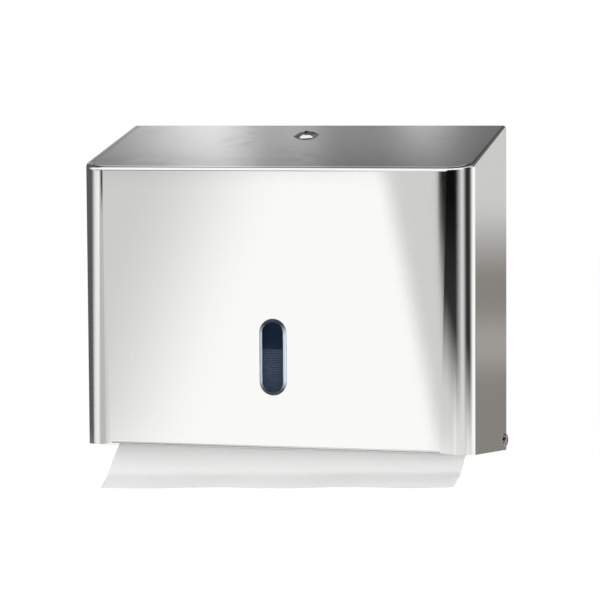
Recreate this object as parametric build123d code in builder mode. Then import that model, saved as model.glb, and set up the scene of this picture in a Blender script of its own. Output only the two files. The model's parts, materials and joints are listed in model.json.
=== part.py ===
from build123d import *
import os
from math import cos, radians, sin, tan

# Wall dispenser for folded paper towels, in millimetres. +Z is up, the front faces -Y and the wall is the
# plane Y = 0. The origin is the centre of the four wall holes. +X is the right side, seen from the front.

# Towels
TOWEL_WIDTH = 250.0
TOWEL_FOLD = 115.0
STACK_HEIGHT = 60.0
STACK_EDGE_RADIUS = 4.0
PAPER = 0.5
SOFT_GAP = 0.3
LEAF_BEND_OFFSET = 7.0
LEAF_BEND_RADIUS = 12.0
LEAF_CREASE_RADIUS = 30.0
LEAF_RUN_LEFT = 57.0
LEAF_RUN_RIGHT = 48.0
LEFT_LEAF_SLOPE = 30.6
RIGHT_LEAF_SLOPE = 28.2
LEAF_TIP_LEFT = 21.3
LEAF_TIP_RIGHT = 25.4
LEFT_TIP_SLOPE = 26.0
RIGHT_TIP_SLOPE = 17.5

# Sheet metal and the plays between pieces
COVER_SHEET = 1.0
CHASSIS_SHEET = 1.2
BEND_RADIUS = 2.2
SIDE_PLAY = 2.3
REAR_PLAY = 1.3
LIP_PLAY = 0.5
LIP_GAP = 1.8
HINGE_GAP = 8.0
RUNNING_FIT = 0.05
SEAT_FIT = 0.05
SWING_PLAY = 0.5
STOP_PLAY = 0.3

# Cover
REAR_HEIGHT = 229.0
TOP_SLOPE = 12.4
BOTTOM_SLOPE = 5.7
CORNER_RADIUS = 17.0
TOP_EDGE_RADIUS = 2.5
SEAM_INSET = 4.5
SEAM_CHAMFER = 0.35
FRONT_EDGE_RAISE = 0.9
HEM_WIDTH = 10.0
HEM_BEND = 1.8
HEM_INSET = 4.5
HEM_RAMP = 10.0
RETURN_WIDTH = 5.5
RETURN_START = 22.0
RETURN_END = 4.0
TOP_RETURN = 8.0
TOP_RETURN_GAP = 1.0

# Level window
WINDOW_RISE = 62.2
WINDOW_LENGTH = 52.4
WINDOW_WIDTH = 19.2
LENS_FIT = 0.1
LENS_PROUD = 1.0
LENS_BEVEL = 1.9
LENS_BEVEL_DEPTH = 0.9
LENS_FLANGE = 3.0
LENS_FLANGE_THICKNESS = 1.0
RETAINER_SHEET = 0.6
RETAINER_WIDTH = 27.0
RETAINER_END = 8.0
RETAINER_CORNER = 5.0
STUD_RADIUS = 1.5
STUD_OFFSET = 8.0
STUD_TAIL = 0.2
PUSH_NUT_SIDE = 7.2
PUSH_NUT_THICKNESS = 1.1

# Lock in the top panel, with lengths along its axis
LOCK_SETBACK = 28.0
LOCK_HEAD_RADIUS = 9.2
LOCK_HEAD_HEIGHT = 1.7
LOCK_SHOULDER_RADIUS = 8.2
LOCK_SHOULDER_HEIGHT = 0.9
BARREL_RADIUS = 7.9
BARREL_LENGTH = 21.0
BARREL_FIT = 0.1
PLUG_RADIUS = 5.5
PLUG_CAP_RADIUS = 6.4
PLUG_CAP_DEPTH = 1.0
PLUG_RECESS = 0.3
PLUG_PLAY = 0.3
KEYWAY_LENGTH = 7.0
KEYWAY_WIDTH = 1.6
KEYWAY_DEPTH = 8.0
LOCK_NUT_ACROSS = 22.0
LOCK_NUT_HEIGHT = 4.0
CAM_SHEET = 2.0
CAM_WIDTH = 10.0
CAM_REACH = 26.0
CAM_HUB_RADIUS = 7.5
CAM_SQUARE = 6.0
CAM_CLAMP = 0.2
CAM_SCREW_RADIUS = 2.0
CAM_SCREW_HEAD_RADIUS = 4.6
CAM_SCREW_HEAD_HEIGHT = 2.2
CAM_SCREW_SLOT = 1.0
CAM_SCREW_GRIP = 7.0

# Strike that the turned cam hooks behind
STRIKE_SHEET = 1.5
STRIKE_START = 13.0
STRIKE_WIDTH = 14.0
STRIKE_PLAY = 0.8
STRIKE_DROP = 4.0
STRIKE_TAB = 9.0
STRIKE_FOOT = 30.0

# Hinge
PIN_SETBACK = 5.0
PIN_RISE = 7.7
PIN_RADIUS = 2.5
PIN_HEAD_RADIUS = 4.6
PIN_HEAD_HEIGHT = 2.0
PIN_SHOULDER_RADIUS = 3.6
PIN_SHOULDER_RISE = 1.3
PIN_CROWN_RADIUS = 1.5
PIN_HEAD_PLAY = 0.15
PIN_TAIL_RADIUS = 3.8
PIN_TAIL_HEIGHT = 1.1
SPACER_RADIUS = 5.2
DOUBLER_SHEET = 1.5
DOUBLER_RADIUS = 4.6
DOUBLER_REACH = 20.0
HINGE_PLAY = 0.15
LUG_RADIUS = 6.6

# Chassis
HOLE_SPACING_X = 180.0
HOLE_SPACING_Z = 120.0
HOLE_RADIUS = 3.25
CHEEK_FLANGE = 6.0
CHEEK_TOP_DROP = 42.0
CHEEK_FRONT_HEIGHT = 30.0
CHEEK_SHOULDER = 52.0
CHEEK_CORNER = 14.0
CHEEK_TOE = 3.0
CHEEK_SETBACK = 2.0
STOP_TAB_SETBACK = 30.0
STOP_TAB_LENGTH = 12.0
STOP_TAB_WIDTH = 6.0
STOP_RAMP = 8.0
BACK_TOP_CLEARANCE = 6.0
BACK_TOP_FLANGE = 10.0
BACK_BOTTOM_FLANGE = 8.0
BACK_FLANGE_INSET = 14.0
LEDGE_RISE = 6.0
LEDGE_END_PLAY = 0.3
SLOT_WIDTH = 40.0
SLOT_SETBACK = 61.0
NOSE_DROP = 4.5
NOSE_TUCK = 6.0
LIP_HEIGHT = 14.0
LIP_END_INSET = 5.0
LIP_NOTCH = 70.0
LIP_NOTCH_DEPTH = 10.0
LIP_NOTCH_RADIUS = 8.0
TAB_WIDTH = 12.0
TAB_GAP = 2.5

# Rivets and buffers
RIVET_RADIUS = 2.4
RIVET_HEIGHT = 1.1
RIVET_SLOPE = 35.0
RIVET_CLEARANCE = 0.5
CHEEK_RIVET_INSET = 14.6
STRIKE_RIVET_INSET = 7.0
BUFFER_RADIUS = 2.5
BUFFER_DROP = 30.0

# Sides, from the towel outwards
CHEEK_IN = TOWEL_WIDTH / 2 + SIDE_PLAY
CHEEK_OUT = CHEEK_IN + CHASSIS_SHEET
COVER_IN = CHEEK_OUT + HINGE_GAP
COVER_OUT = COVER_IN + COVER_SHEET
BACK_HALF = CHEEK_OUT + CHEEK_FLANGE
LEDGE_HALF = CHEEK_IN - LEDGE_END_PLAY

# Depths, from the wall forwards
STACK_REAR = -CHASSIS_SHEET - REAR_PLAY
STACK_FRONT = STACK_REAR - TOWEL_FOLD
LIP_BACK = STACK_FRONT - LIP_PLAY
LIP_FRONT = LIP_BACK - CHASSIS_SHEET
CHEEK_FRONT = LIP_BACK + CHEEK_SETBACK
FRONT_IN = LIP_FRONT - LIP_GAP
FRONT_Y = FRONT_IN - COVER_SHEET
WALL_GAP = 2 * CHASSIS_SHEET + RIVET_HEIGHT + RIVET_CLEARANCE
COVER_BACK = -WALL_GAP
SLOT_REAR = -SLOT_SETBACK + SLOT_WIDTH / 2
SLOT_FRONT = -SLOT_SETBACK - SLOT_WIDTH / 2
REAR_TAB_Y = (SLOT_REAR + NOSE_TUCK - CHASSIS_SHEET) / 2
REAR_TAB_LENGTH = -SLOT_REAR - NOSE_TUCK - CHASSIS_SHEET - 2 * TAB_GAP
FRONT_TAB_Y = (SLOT_FRONT - NOSE_TUCK + LIP_BACK) / 2
FRONT_TAB_LENGTH = SLOT_FRONT - NOSE_TUCK - LIP_BACK - 2 * TAB_GAP
PIN_Y = COVER_BACK - PIN_SETBACK
LOCK_Y = COVER_BACK - LOCK_SETBACK

# Heights
REAR_TOP = REAR_HEIGHT / 2
REAR_BOTTOM = -REAR_HEIGHT / 2


def top_height(y):
    """Height of the cover's outer top surface at depth y."""
    return REAR_TOP - (COVER_BACK - y) * tan(radians(TOP_SLOPE))


def bottom_height(y):
    """Height of the cover's slanted lower edge at depth y."""
    return REAR_BOTTOM + (COVER_BACK - y) * tan(radians(BOTTOM_SLOPE))


FRONT_EDGE = bottom_height(FRONT_Y) + FRONT_EDGE_RAISE
WINDOW_Z = FRONT_EDGE + WINDOW_RISE
LEDGE_TOP = FRONT_EDGE + LEDGE_RISE
LEDGE_UNDER = LEDGE_TOP - CHASSIS_SHEET
TAB_UNDER = LEDGE_UNDER - CHASSIS_SHEET
NOSE_UNDER = LEDGE_TOP - NOSE_DROP
LEAF_UNDER = LEDGE_TOP + SOFT_GAP
STACK_BOTTOM = LEAF_UNDER + PAPER + SOFT_GAP
PIN_Z = REAR_BOTTOM + PIN_RISE
BACK_TOP = REAR_TOP - COVER_SHEET - TOP_RETURN - BACK_TOP_CLEARANCE
BACK_BOTTOM = PIN_Z - PIN_TAIL_RADIUS - CHASSIS_SHEET
CHEEK_TOP = BACK_TOP - CHEEK_TOP_DROP
STOP_TOP = PIN_Z + PIN_SETBACK - COVER_SHEET - STOP_PLAY
STOP_UNDER = STOP_TOP - CHASSIS_SHEET
BUFFER_Z = BACK_TOP - BUFFER_DROP

# Planes and axes
lock_normal = Vector(0, -sin(radians(TOP_SLOPE)), cos(radians(TOP_SLOPE)))
lock_plane = Plane(origin=(0, LOCK_Y, top_height(LOCK_Y)), x_dir=(1, 0, 0), z_dir=lock_normal)
lock_axis = Axis(lock_plane.origin, lock_plane.z_dir)
lock_section = Plane(origin=lock_plane.origin, x_dir=(1, 0, 0), z_dir=-lock_plane.y_dir)
pin_section = Plane(origin=(0, PIN_Y, PIN_Z), x_dir=(1, 0, 0), z_dir=(0, -1, 0))
pin_axis = Axis(pin_section.origin, (1, 0, 0))
back_face = Plane.XZ.offset(CHASSIS_SHEET)
flange_face = Plane.XZ.offset(2 * CHASSIS_SHEET)
cover_rear = Plane.XZ.offset(WALL_GAP)
front_inside = Plane.XZ.offset(-FRONT_IN)
front_outside = Plane.XZ.offset(-FRONT_Y)

# Strike bracket, set out from the cam: the arm passes under the cam and the tab stands in front of it
CAM_TOP = -BARREL_LENGTH - PLUG_PLAY
CAM_UNDER = CAM_TOP - CAM_SHEET
STRIKE_ARM = CAM_UNDER - STRIKE_DROP
STRIKE_TAB_BACK = -CAM_WIDTH / 2 - STRIKE_PLAY
tab_foot = lock_plane.from_local_coords((0, STRIKE_TAB_BACK, STRIKE_ARM))
tab_end = lock_plane.from_local_coords((0, STRIKE_TAB_BACK, STRIKE_ARM + STRIKE_TAB))
STRIKE_ROOT = tab_foot.Z - (CHASSIS_SHEET + tab_foot.Y) * tan(radians(TOP_SLOPE))
STRIKE_END = STRIKE_ROOT - STRIKE_FOOT

# Places of the rivets
CHEEK_RIVET_X = (CHEEK_OUT + BEND_RADIUS - CHASSIS_SHEET + BACK_HALF) / 2
CHEEK_RIVET_Z = (CHEEK_TOP + LEDGE_TOP) / 2
CHEEK_RIVET_PITCH = (CHEEK_TOP - LEDGE_TOP) / 2 - CHEEK_RIVET_INSET
LEDGE_RIVET_X = CHEEK_IN - TAB_WIDTH / 2
STRIKE_RIVET_X = STRIKE_START + STRIKE_WIDTH / 2
cheek_rivet_places = [
    (side * CHEEK_RIVET_X, CHEEK_RIVET_Z + step * CHEEK_RIVET_PITCH)
    for side in (-1, 1)
    for step in (-1, 1)
]
ledge_rivet_places = [
    (side * LEDGE_RIVET_X, tab_y)
    for side in (-1, 1)
    for tab_y in (REAR_TAB_Y, FRONT_TAB_Y)
]
strike_rivet_places = [
    (STRIKE_RIVET_X, STRIKE_END + STRIKE_RIVET_INSET),
    (STRIKE_RIVET_X, STRIKE_ROOT - STRIKE_RIVET_INSET - BEND_RADIUS),
]


def bent_sheet(points, sheet, bend):
    """Adds to the open sketch a sheet's section, folded along points with its thickness on their left."""
    with BuildLine() as fold:
        FilletPolyline(*points, radius=bend)
        offset(amount=sheet, side=Side.LEFT)
    make_face(fold.edges())


def circles(places, radius, mode=Mode.ADD):
    """Adds to the open sketch a circle at each of the places."""
    with Locations(*places):
        Circle(radius, mode=mode)


def forwards(start, length, fall):
    """The point reached from start by going forwards for length, falling at an angle in radians."""
    return start + Vector(-length * cos(fall), -length * sin(fall))


# Back plate: one sheet with a flange turned forwards at the top and at the bottom
with BuildPart() as back_plate:
    with BuildSketch(Plane.YZ):
        bottom_flange = (-BACK_BOTTOM_FLANGE, BACK_BOTTOM)
        top_flange = (-BACK_TOP_FLANGE, BACK_TOP)
        bent_sheet([bottom_flange, (0, BACK_BOTTOM), (0, BACK_TOP), top_flange], CHASSIS_SHEET, BEND_RADIUS)
    extrude(amount=BACK_HALF, both=True)
    with BuildSketch(back_face):
        with Locations((0, (BACK_TOP + BACK_BOTTOM) / 2)):
            with GridLocations(2 * BACK_HALF, BACK_TOP - BACK_BOTTOM, 2, 2):
                Rectangle(2 * BACK_FLANGE_INSET, 2 * BEND_RADIUS)
    extrude(amount=BACK_TOP_FLANGE + BACK_BOTTOM_FLANGE, mode=Mode.SUBTRACT)
    with BuildSketch(Plane.XZ):
        with GridLocations(HOLE_SPACING_X, HOLE_SPACING_Z, 2, 2):
            Circle(HOLE_RADIUS)
    extrude(amount=CHASSIS_SHEET, mode=Mode.SUBTRACT)

# Cheeks: side walls of the magazine, with a rear flange turned outwards, ledge tabs and an opening stop
STOP_REAR = PIN_Y - STOP_TAB_SETBACK
STOP_FRONT = STOP_REAR - STOP_TAB_LENGTH
cheek_corners = [
    ((-CHASSIS_SHEET, CHEEK_TOP), 0),
    ((-CHEEK_SHOULDER, CHEEK_TOP), CHEEK_CORNER),
    ((CHEEK_FRONT, LEDGE_TOP + CHEEK_FRONT_HEIGHT), CHEEK_CORNER),
    ((CHEEK_FRONT, NOSE_UNDER), CHEEK_TOE),
    ((STOP_FRONT - STOP_RAMP, NOSE_UNDER), CHEEK_TOE),
    ((STOP_FRONT, STOP_UNDER), 0),
    ((STOP_REAR, STOP_UNDER), 0),
    ((PIN_Y, BACK_BOTTOM), 0),
    ((-CHASSIS_SHEET, BACK_BOTTOM), 0),
]
with BuildPart() as right_cheek:
    with BuildSketch(Plane.XY.offset(PIN_Z - LUG_RADIUS)):
        flange_tip = (BACK_HALF, -CHASSIS_SHEET)
        wall_front = (CHEEK_IN, CHEEK_FRONT)
        bent_sheet([flange_tip, (CHEEK_IN, -CHASSIS_SHEET), wall_front], CHASSIS_SHEET, BEND_RADIUS)
    extrude(amount=CHEEK_TOP - PIN_Z + LUG_RADIUS)
    with BuildSketch(Plane.YZ):
        with BuildLine():
            corner_points = [point for point, radius in cheek_corners]
            corner_radii = [radius for point, radius in cheek_corners]
            FilletPolyline(*corner_points, radius=corner_radii, close=True)
        make_face()
        circles([(PIN_Y, PIN_Z)], LUG_RADIUS)
        circles([(PIN_Y, PIN_Z)], PIN_RADIUS + SEAT_FIT, Mode.SUBTRACT)
    extrude(amount=2 * BACK_HALF, mode=Mode.INTERSECT)
    with BuildSketch(Plane.XY.offset(TAB_UNDER)):
        with Locations((CHEEK_IN, REAR_TAB_Y)):
            Rectangle(TAB_WIDTH, REAR_TAB_LENGTH, align=(Align.MAX, Align.CENTER))
        with Locations((CHEEK_IN, FRONT_TAB_Y)):
            Rectangle(TAB_WIDTH, FRONT_TAB_LENGTH, align=(Align.MAX, Align.CENTER))
    extrude(amount=CHASSIS_SHEET)
    with BuildSketch(Plane.XY.offset(STOP_UNDER)):
        with Locations((CHEEK_OUT, (STOP_REAR + STOP_FRONT) / 2)):
            Rectangle(STOP_TAB_WIDTH, STOP_TAB_LENGTH, align=(Align.MIN, Align.CENTER))
    extrude(amount=CHASSIS_SHEET)

with BuildPart() as left_cheek:
    mirror(right_cheek.part, about=Plane.YZ)

# Ledges: the stack rests on both, and the towel is drawn down between their folded noses
with BuildPart() as rear_ledge:
    with BuildSketch(Plane.YZ):
        rear_end = (-CHASSIS_SHEET, LEDGE_TOP)
        tuck_end = (SLOT_REAR + NOSE_TUCK, NOSE_UNDER)
        nose = [(SLOT_REAR, LEDGE_TOP), (SLOT_REAR, NOSE_UNDER)]
        bent_sheet([rear_end, *nose, tuck_end], CHASSIS_SHEET, BEND_RADIUS)
    extrude(amount=LEDGE_HALF, both=True)

with BuildPart() as front_ledge:
    with BuildSketch(Plane.YZ):
        tuck_end = (SLOT_FRONT - NOSE_TUCK, NOSE_UNDER)
        nose = [(SLOT_FRONT, NOSE_UNDER), (SLOT_FRONT, LEDGE_TOP)]
        lip = [(LIP_BACK, LEDGE_TOP), (LIP_BACK, LEDGE_TOP + LIP_HEIGHT)]
        bends = [BEND_RADIUS, BEND_RADIUS, BEND_RADIUS - CHASSIS_SHEET]
        bent_sheet([tuck_end, *nose, *lip], CHASSIS_SHEET, bends)
    extrude(amount=LEDGE_HALF, both=True)
    with BuildSketch(Plane.XZ.offset(-LIP_BACK)):
        with Locations((0, LEDGE_TOP + LIP_HEIGHT)):
            RectangleRounded(LIP_NOTCH, 2 * LIP_NOTCH_DEPTH, LIP_NOTCH_RADIUS)
            with GridLocations(2 * LEDGE_HALF, 2 * LIP_HEIGHT, 2, 2):
                Rectangle(2 * LIP_END_INSET, 4 * LIP_HEIGHT)
    extrude(amount=CHASSIS_SHEET, mode=Mode.SUBTRACT)

# Strike bracket: foot on the back plate, arm forwards under the cam, tab up in front of the turned cam
with BuildPart() as strike_bracket:
    with BuildSketch(Plane.YZ.offset(STRIKE_START)):
        foot = [(-CHASSIS_SHEET, STRIKE_END), (-CHASSIS_SHEET, STRIKE_ROOT)]
        tab = [(tab_foot.Y, tab_foot.Z), (tab_end.Y, tab_end.Z)]
        bent_sheet([*foot, *tab], STRIKE_SHEET, BEND_RADIUS)
    extrude(amount=STRIKE_WIDTH)

# Rivet heads, set down on the sheet that they hold
with BuildPart() as cheek_rivets:
    with BuildSketch(flange_face):
        circles(cheek_rivet_places, RIVET_RADIUS)
    extrude(amount=RIVET_HEIGHT, taper=RIVET_SLOPE)

with BuildPart() as strike_rivets:
    with BuildSketch(back_face.offset(STRIKE_SHEET)):
        circles(strike_rivet_places, RIVET_RADIUS)
    extrude(amount=RIVET_HEIGHT, taper=RIVET_SLOPE)

with BuildPart() as ledge_rivets:
    with BuildSketch(Plane.XY.offset(TAB_UNDER)):
        circles(ledge_rivet_places, RIVET_RADIUS)
    extrude(amount=-RIVET_HEIGHT, taper=RIVET_SLOPE)

# Rubber buffers on the back plate, behind the cover's side returns
with BuildPart() as rubber_buffers:
    with BuildSketch(back_face):
        circles([(-CHEEK_RIVET_X, BUFFER_Z), (CHEEK_RIVET_X, BUFFER_Z)], BUFFER_RADIUS)
    extrude(amount=WALL_GAP - CHASSIS_SHEET - SOFT_GAP)

# Hinge: a riveted pin on each side, a nylon spacer on it, and a plate that doubles the cover's side
with BuildPart() as right_hinge_pin:
    with BuildSketch(pin_section):
        head_base = COVER_OUT + PIN_HEAD_PLAY
        with BuildLine():
            Polyline(
                (head_base + PIN_HEAD_HEIGHT, PIN_CROWN_RADIUS),
                (head_base + PIN_HEAD_HEIGHT, 0),
                (CHEEK_IN - PIN_TAIL_HEIGHT, 0),
                (CHEEK_IN - PIN_TAIL_HEIGHT, PIN_TAIL_RADIUS),
                (CHEEK_IN, PIN_TAIL_RADIUS),
                (CHEEK_IN, PIN_RADIUS),
                (head_base, PIN_RADIUS),
                (head_base, PIN_HEAD_RADIUS),
                (head_base + PIN_SHOULDER_RISE, PIN_SHOULDER_RADIUS),
                close=True,
            )
        make_face()
    revolve(axis=pin_axis)

with BuildPart() as right_hinge_spacer:
    with BuildSketch(Plane.YZ.offset(CHEEK_OUT)):
        circles([(PIN_Y, PIN_Z)], SPACER_RADIUS)
        circles([(PIN_Y, PIN_Z)], PIN_RADIUS + RUNNING_FIT, Mode.SUBTRACT)
    extrude(amount=HINGE_GAP - DOUBLER_SHEET - HINGE_PLAY)

with BuildPart() as right_hinge_doubler:
    with BuildSketch(Plane.YZ.offset(COVER_IN - DOUBLER_SHEET)):
        with Locations((PIN_Y, PIN_Z)):
            Circle(DOUBLER_RADIUS)
            Rectangle(DOUBLER_REACH, 2 * DOUBLER_RADIUS, align=(Align.MAX, Align.CENTER))
        circles([(PIN_Y, PIN_Z)], PIN_RADIUS + RUNNING_FIT, Mode.SUBTRACT)
    extrude(amount=DOUBLER_SHEET)

with BuildPart() as left_hinge_pin:
    mirror(right_hinge_pin.part, about=Plane.YZ)

with BuildPart() as left_hinge_spacer:
    mirror(right_hinge_spacer.part, about=Plane.YZ)

with BuildPart() as left_hinge_doubler:
    mirror(right_hinge_doubler.part, about=Plane.YZ)

# Cover form: the whole outside, hollowed to the sheet's thickness and open at the back and below
with BuildPart() as cover_form:
    with BuildSketch(Plane.YZ):
        with BuildLine():
            Polyline(
                (COVER_BACK, REAR_BOTTOM),
                (COVER_BACK, REAR_TOP),
                (FRONT_Y, top_height(FRONT_Y)),
                (FRONT_Y, bottom_height(FRONT_Y)),
                close=True,
            )
        make_face()
    extrude(amount=COVER_OUT, both=True)
    fillet(cover_form.edges().filter_by(Axis.Z).group_by(Axis.Y)[0], CORNER_RADIUS)
    top_face = cover_form.faces().filter_by(lock_axis)[0]
    fillet(top_face.edges().sort_by(Axis.Y)[:-1], TOP_EDGE_RADIUS)
    rear_opening = cover_form.faces().sort_by(Axis.Y)[-1]
    lower_opening = cover_form.faces().sort_by(Axis.Z)[0]
    offset(amount=-COVER_SHEET, openings=[rear_opening, lower_opening])

with BuildSketch(Plane.XY) as seam_outline:
    seam_front = FRONT_Y + SEAM_INSET
    with Locations((0, seam_front)):
        Rectangle(2 * (COVER_OUT - SEAM_INSET), -seam_front, align=(Align.CENTER, Align.MIN))
    fillet(seam_outline.vertices().group_by(Axis.Y)[0], CORNER_RADIUS - SEAM_INSET)

# Top panel: let into the shell along a fine seam, with a stiffening return down its rear edge
with BuildPart() as cover_top:
    add(cover_form.part)
    extrude(seam_outline.sketch, amount=REAR_HEIGHT, mode=Mode.INTERSECT)
    panel_face = cover_top.faces().filter_by(lock_axis).sort_by(Axis.Z)[-1]
    seam_edges = panel_face.edges().sort_by(Axis.Y)[:-1]
    chamfer(seam_edges, SEAM_CHAMFER)
    with BuildSketch(cover_rear):
        with Locations((0, REAR_TOP - COVER_SHEET / 2)):
            return_length = 2 * (COVER_IN - RETURN_WIDTH - TOP_RETURN_GAP)
            Rectangle(return_length, TOP_RETURN + COVER_SHEET / 2, align=(Align.CENTER, Align.MAX))
    extrude(amount=COVER_SHEET)
    with BuildSketch(lock_plane):
        Circle(BARREL_RADIUS + BARREL_FIT)
    extrude(amount=-2 * COVER_SHEET, mode=Mode.SUBTRACT)

# Shell: front and sides in one sheet, with a folded hem at the front and returns down the rear edges
HEM_HALF = COVER_OUT - CORNER_RADIUS - HEM_INSET
HEM_JOIN = FRONT_EDGE + 2 * HEM_BEND
with BuildPart() as cover_shell:
    add(cover_form.part)
    extrude(seam_outline.sketch, amount=REAR_HEIGHT, mode=Mode.SUBTRACT)
    seam_places = [edge.center() for edge in seam_edges]
    rim_edges = [
        edge
        for edge in cover_shell.edges()
        if min((edge.center() - place).length for place in seam_places) < SEAT_FIT
    ]
    chamfer(rim_edges, SEAM_CHAMFER)
    with BuildSketch(front_outside):
        with BuildLine():
            Polyline(
                (-HEM_HALF - HEM_RAMP, FRONT_EDGE - FRONT_EDGE_RAISE),
                (-HEM_HALF, FRONT_EDGE),
                (-HEM_HALF, HEM_JOIN),
                (HEM_HALF, HEM_JOIN),
                (HEM_HALF, FRONT_EDGE),
                (HEM_HALF + HEM_RAMP, FRONT_EDGE - FRONT_EDGE_RAISE),
                close=True,
            )
        make_face()
    extrude(amount=-CORNER_RADIUS / 2, mode=Mode.SUBTRACT)
    with BuildSketch(Plane.YZ):
        hem_end = (FRONT_Y + HEM_WIDTH, FRONT_EDGE)
        bent_sheet([(FRONT_Y, HEM_JOIN), (FRONT_Y, FRONT_EDGE), hem_end], COVER_SHEET, HEM_BEND)
    extrude(amount=HEM_HALF, both=True)
    with BuildSketch(cover_rear):
        return_foot = PIN_Z + RETURN_START
        return_height = REAR_TOP - RETURN_END - return_foot
        with Locations((COVER_IN, return_foot)):
            Rectangle(RETURN_WIDTH, return_height, align=(Align.MAX, Align.MIN))
        with Locations((-COVER_IN, return_foot)):
            Rectangle(RETURN_WIDTH, return_height, align=(Align.MIN, Align.MIN))
    extrude(amount=COVER_SHEET)
    with BuildSketch(Plane.YZ):
        with Locations((PIN_Y, PIN_Z)):
            Rectangle(2 * WALL_GAP + PIN_SETBACK, 2 * PIN_RISE, align=(Align.MIN, Align.MAX))
            Circle(PIN_SETBACK + WALL_GAP - SWING_PLAY, mode=Mode.SUBTRACT)
        circles([(PIN_Y, PIN_Z)], PIN_RADIUS + RUNNING_FIT)
    extrude(amount=COVER_OUT, both=True, mode=Mode.SUBTRACT)
    with BuildSketch(front_inside):
        with Locations((0, WINDOW_Z)):
            SlotOverall(WINDOW_LENGTH, WINDOW_WIDTH, rotation=90)
    extrude(amount=COVER_SHEET, mode=Mode.SUBTRACT)

# Level window: a bevelled lens pushed through from inside, held by a retainer on two studs
LENS_BACK = FRONT_IN + LENS_FLANGE_THICKNESS
RETAINER_BACK = LENS_BACK + RETAINER_SHEET
STUD_BACK = RETAINER_BACK + PUSH_NUT_THICKNESS + STUD_TAIL
STUD_REACH = WINDOW_LENGTH / 2 + LENS_FLANGE + STUD_OFFSET
stud_places = [(0, WINDOW_Z - STUD_REACH), (0, WINDOW_Z + STUD_REACH)]
with BuildPart() as window_lens:
    with BuildSketch(front_inside):
        with Locations((0, WINDOW_Z)):
            SlotOverall(WINDOW_LENGTH + 2 * LENS_FLANGE, WINDOW_WIDTH + 2 * LENS_FLANGE, rotation=90)
    extrude(amount=-LENS_FLANGE_THICKNESS)
    with BuildSketch(front_inside):
        with Locations((0, WINDOW_Z)):
            SlotOverall(WINDOW_LENGTH - 2 * LENS_FIT, WINDOW_WIDTH - 2 * LENS_FIT, rotation=90)
    extrude(amount=COVER_SHEET + LENS_PROUD)
    lens_face = window_lens.faces().sort_by(Axis.Y)[0]
    chamfer(lens_face.edges(), LENS_BEVEL, LENS_BEVEL_DEPTH, reference=lens_face)

with BuildPart() as window_retainer:
    with BuildSketch(Plane.XZ.offset(-LENS_BACK)) as retainer_outline:
        with Locations((0, WINDOW_Z)):
            Rectangle(RETAINER_WIDTH, 2 * (STUD_REACH + RETAINER_END))
        chamfer(retainer_outline.vertices(), RETAINER_CORNER)
        with Locations((0, WINDOW_Z)):
            SlotOverall(WINDOW_LENGTH, WINDOW_WIDTH, rotation=90, mode=Mode.SUBTRACT)
        circles(stud_places, STUD_RADIUS + SEAT_FIT, Mode.SUBTRACT)
    extrude(amount=-RETAINER_SHEET)

with BuildPart() as window_studs:
    with BuildSketch(front_inside):
        circles(stud_places, STUD_RADIUS)
    extrude(amount=-(STUD_BACK - FRONT_IN))

with BuildPart() as push_nuts:
    with BuildSketch(Plane.XZ.offset(-RETAINER_BACK)):
        with Locations(*stud_places):
            Rectangle(PUSH_NUT_SIDE, PUSH_NUT_SIDE)
        circles(stud_places, STUD_RADIUS + SEAT_FIT, Mode.SUBTRACT)
    extrude(amount=-PUSH_NUT_THICKNESS)

# Lock: a flanged barrel clamped in the top panel, and the plug that turns in it
CAP_FLOOR = LOCK_HEAD_HEIGHT - PLUG_CAP_DEPTH
CAP_WALL = PLUG_CAP_RADIUS + RUNNING_FIT
with BuildPart() as lock_barrel:
    with BuildSketch(lock_section):
        with BuildLine():
            Polyline(
                (CAP_WALL, LOCK_HEAD_HEIGHT),
                (CAP_WALL, CAP_FLOOR),
                (PLUG_RADIUS + RUNNING_FIT, CAP_FLOOR),
                (PLUG_RADIUS + RUNNING_FIT, -BARREL_LENGTH),
                (BARREL_RADIUS, -BARREL_LENGTH),
                (BARREL_RADIUS, 0),
                (LOCK_HEAD_RADIUS, 0),
                (LOCK_SHOULDER_RADIUS, LOCK_SHOULDER_HEIGHT),
                close=True,
            )
        make_face()
    revolve(axis=lock_axis)

with BuildPart() as lock_nut:
    with BuildSketch(lock_plane.offset(-COVER_SHEET)):
        RegularPolygon(LOCK_NUT_ACROSS / 2, 6, major_radius=False)
        Circle(BARREL_RADIUS + SEAT_FIT, mode=Mode.SUBTRACT)
    extrude(amount=-LOCK_NUT_HEIGHT)

with BuildPart() as lock_plug:
    with BuildSketch(lock_plane.offset(CAM_TOP)):
        Circle(PLUG_RADIUS)
    extrude(amount=CAP_FLOOR + RUNNING_FIT - CAM_TOP)
    with BuildSketch(lock_plane.offset(CAP_FLOOR + RUNNING_FIT)):
        Circle(PLUG_CAP_RADIUS)
    extrude(amount=PLUG_CAP_DEPTH - PLUG_RECESS)
    with BuildSketch(lock_plane.offset(LOCK_HEAD_HEIGHT)):
        Rectangle(KEYWAY_WIDTH, KEYWAY_LENGTH)
    extrude(amount=-KEYWAY_DEPTH, mode=Mode.SUBTRACT)
    with BuildSketch(lock_plane.offset(CAM_TOP)):
        Rectangle(CAM_SQUARE, CAM_SQUARE)
    extrude(amount=CAM_CLAMP - CAM_SHEET)
    with BuildSketch(lock_plane.offset(CAM_UNDER)):
        Circle(CAM_SCREW_RADIUS + SEAT_FIT)
    extrude(amount=CAM_SCREW_GRIP + CAM_SHEET, mode=Mode.SUBTRACT)

with BuildPart() as lock_cam:
    with BuildSketch(lock_plane.offset(CAM_UNDER)):
        Circle(CAM_HUB_RADIUS)
        SlotCenterPoint((0, (CAM_REACH - CAM_WIDTH / 2) / 2), (0, 0), CAM_WIDTH)
        Rectangle(CAM_SQUARE + 2 * SEAT_FIT, CAM_SQUARE + 2 * SEAT_FIT, mode=Mode.SUBTRACT)
    extrude(amount=CAM_SHEET)

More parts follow.
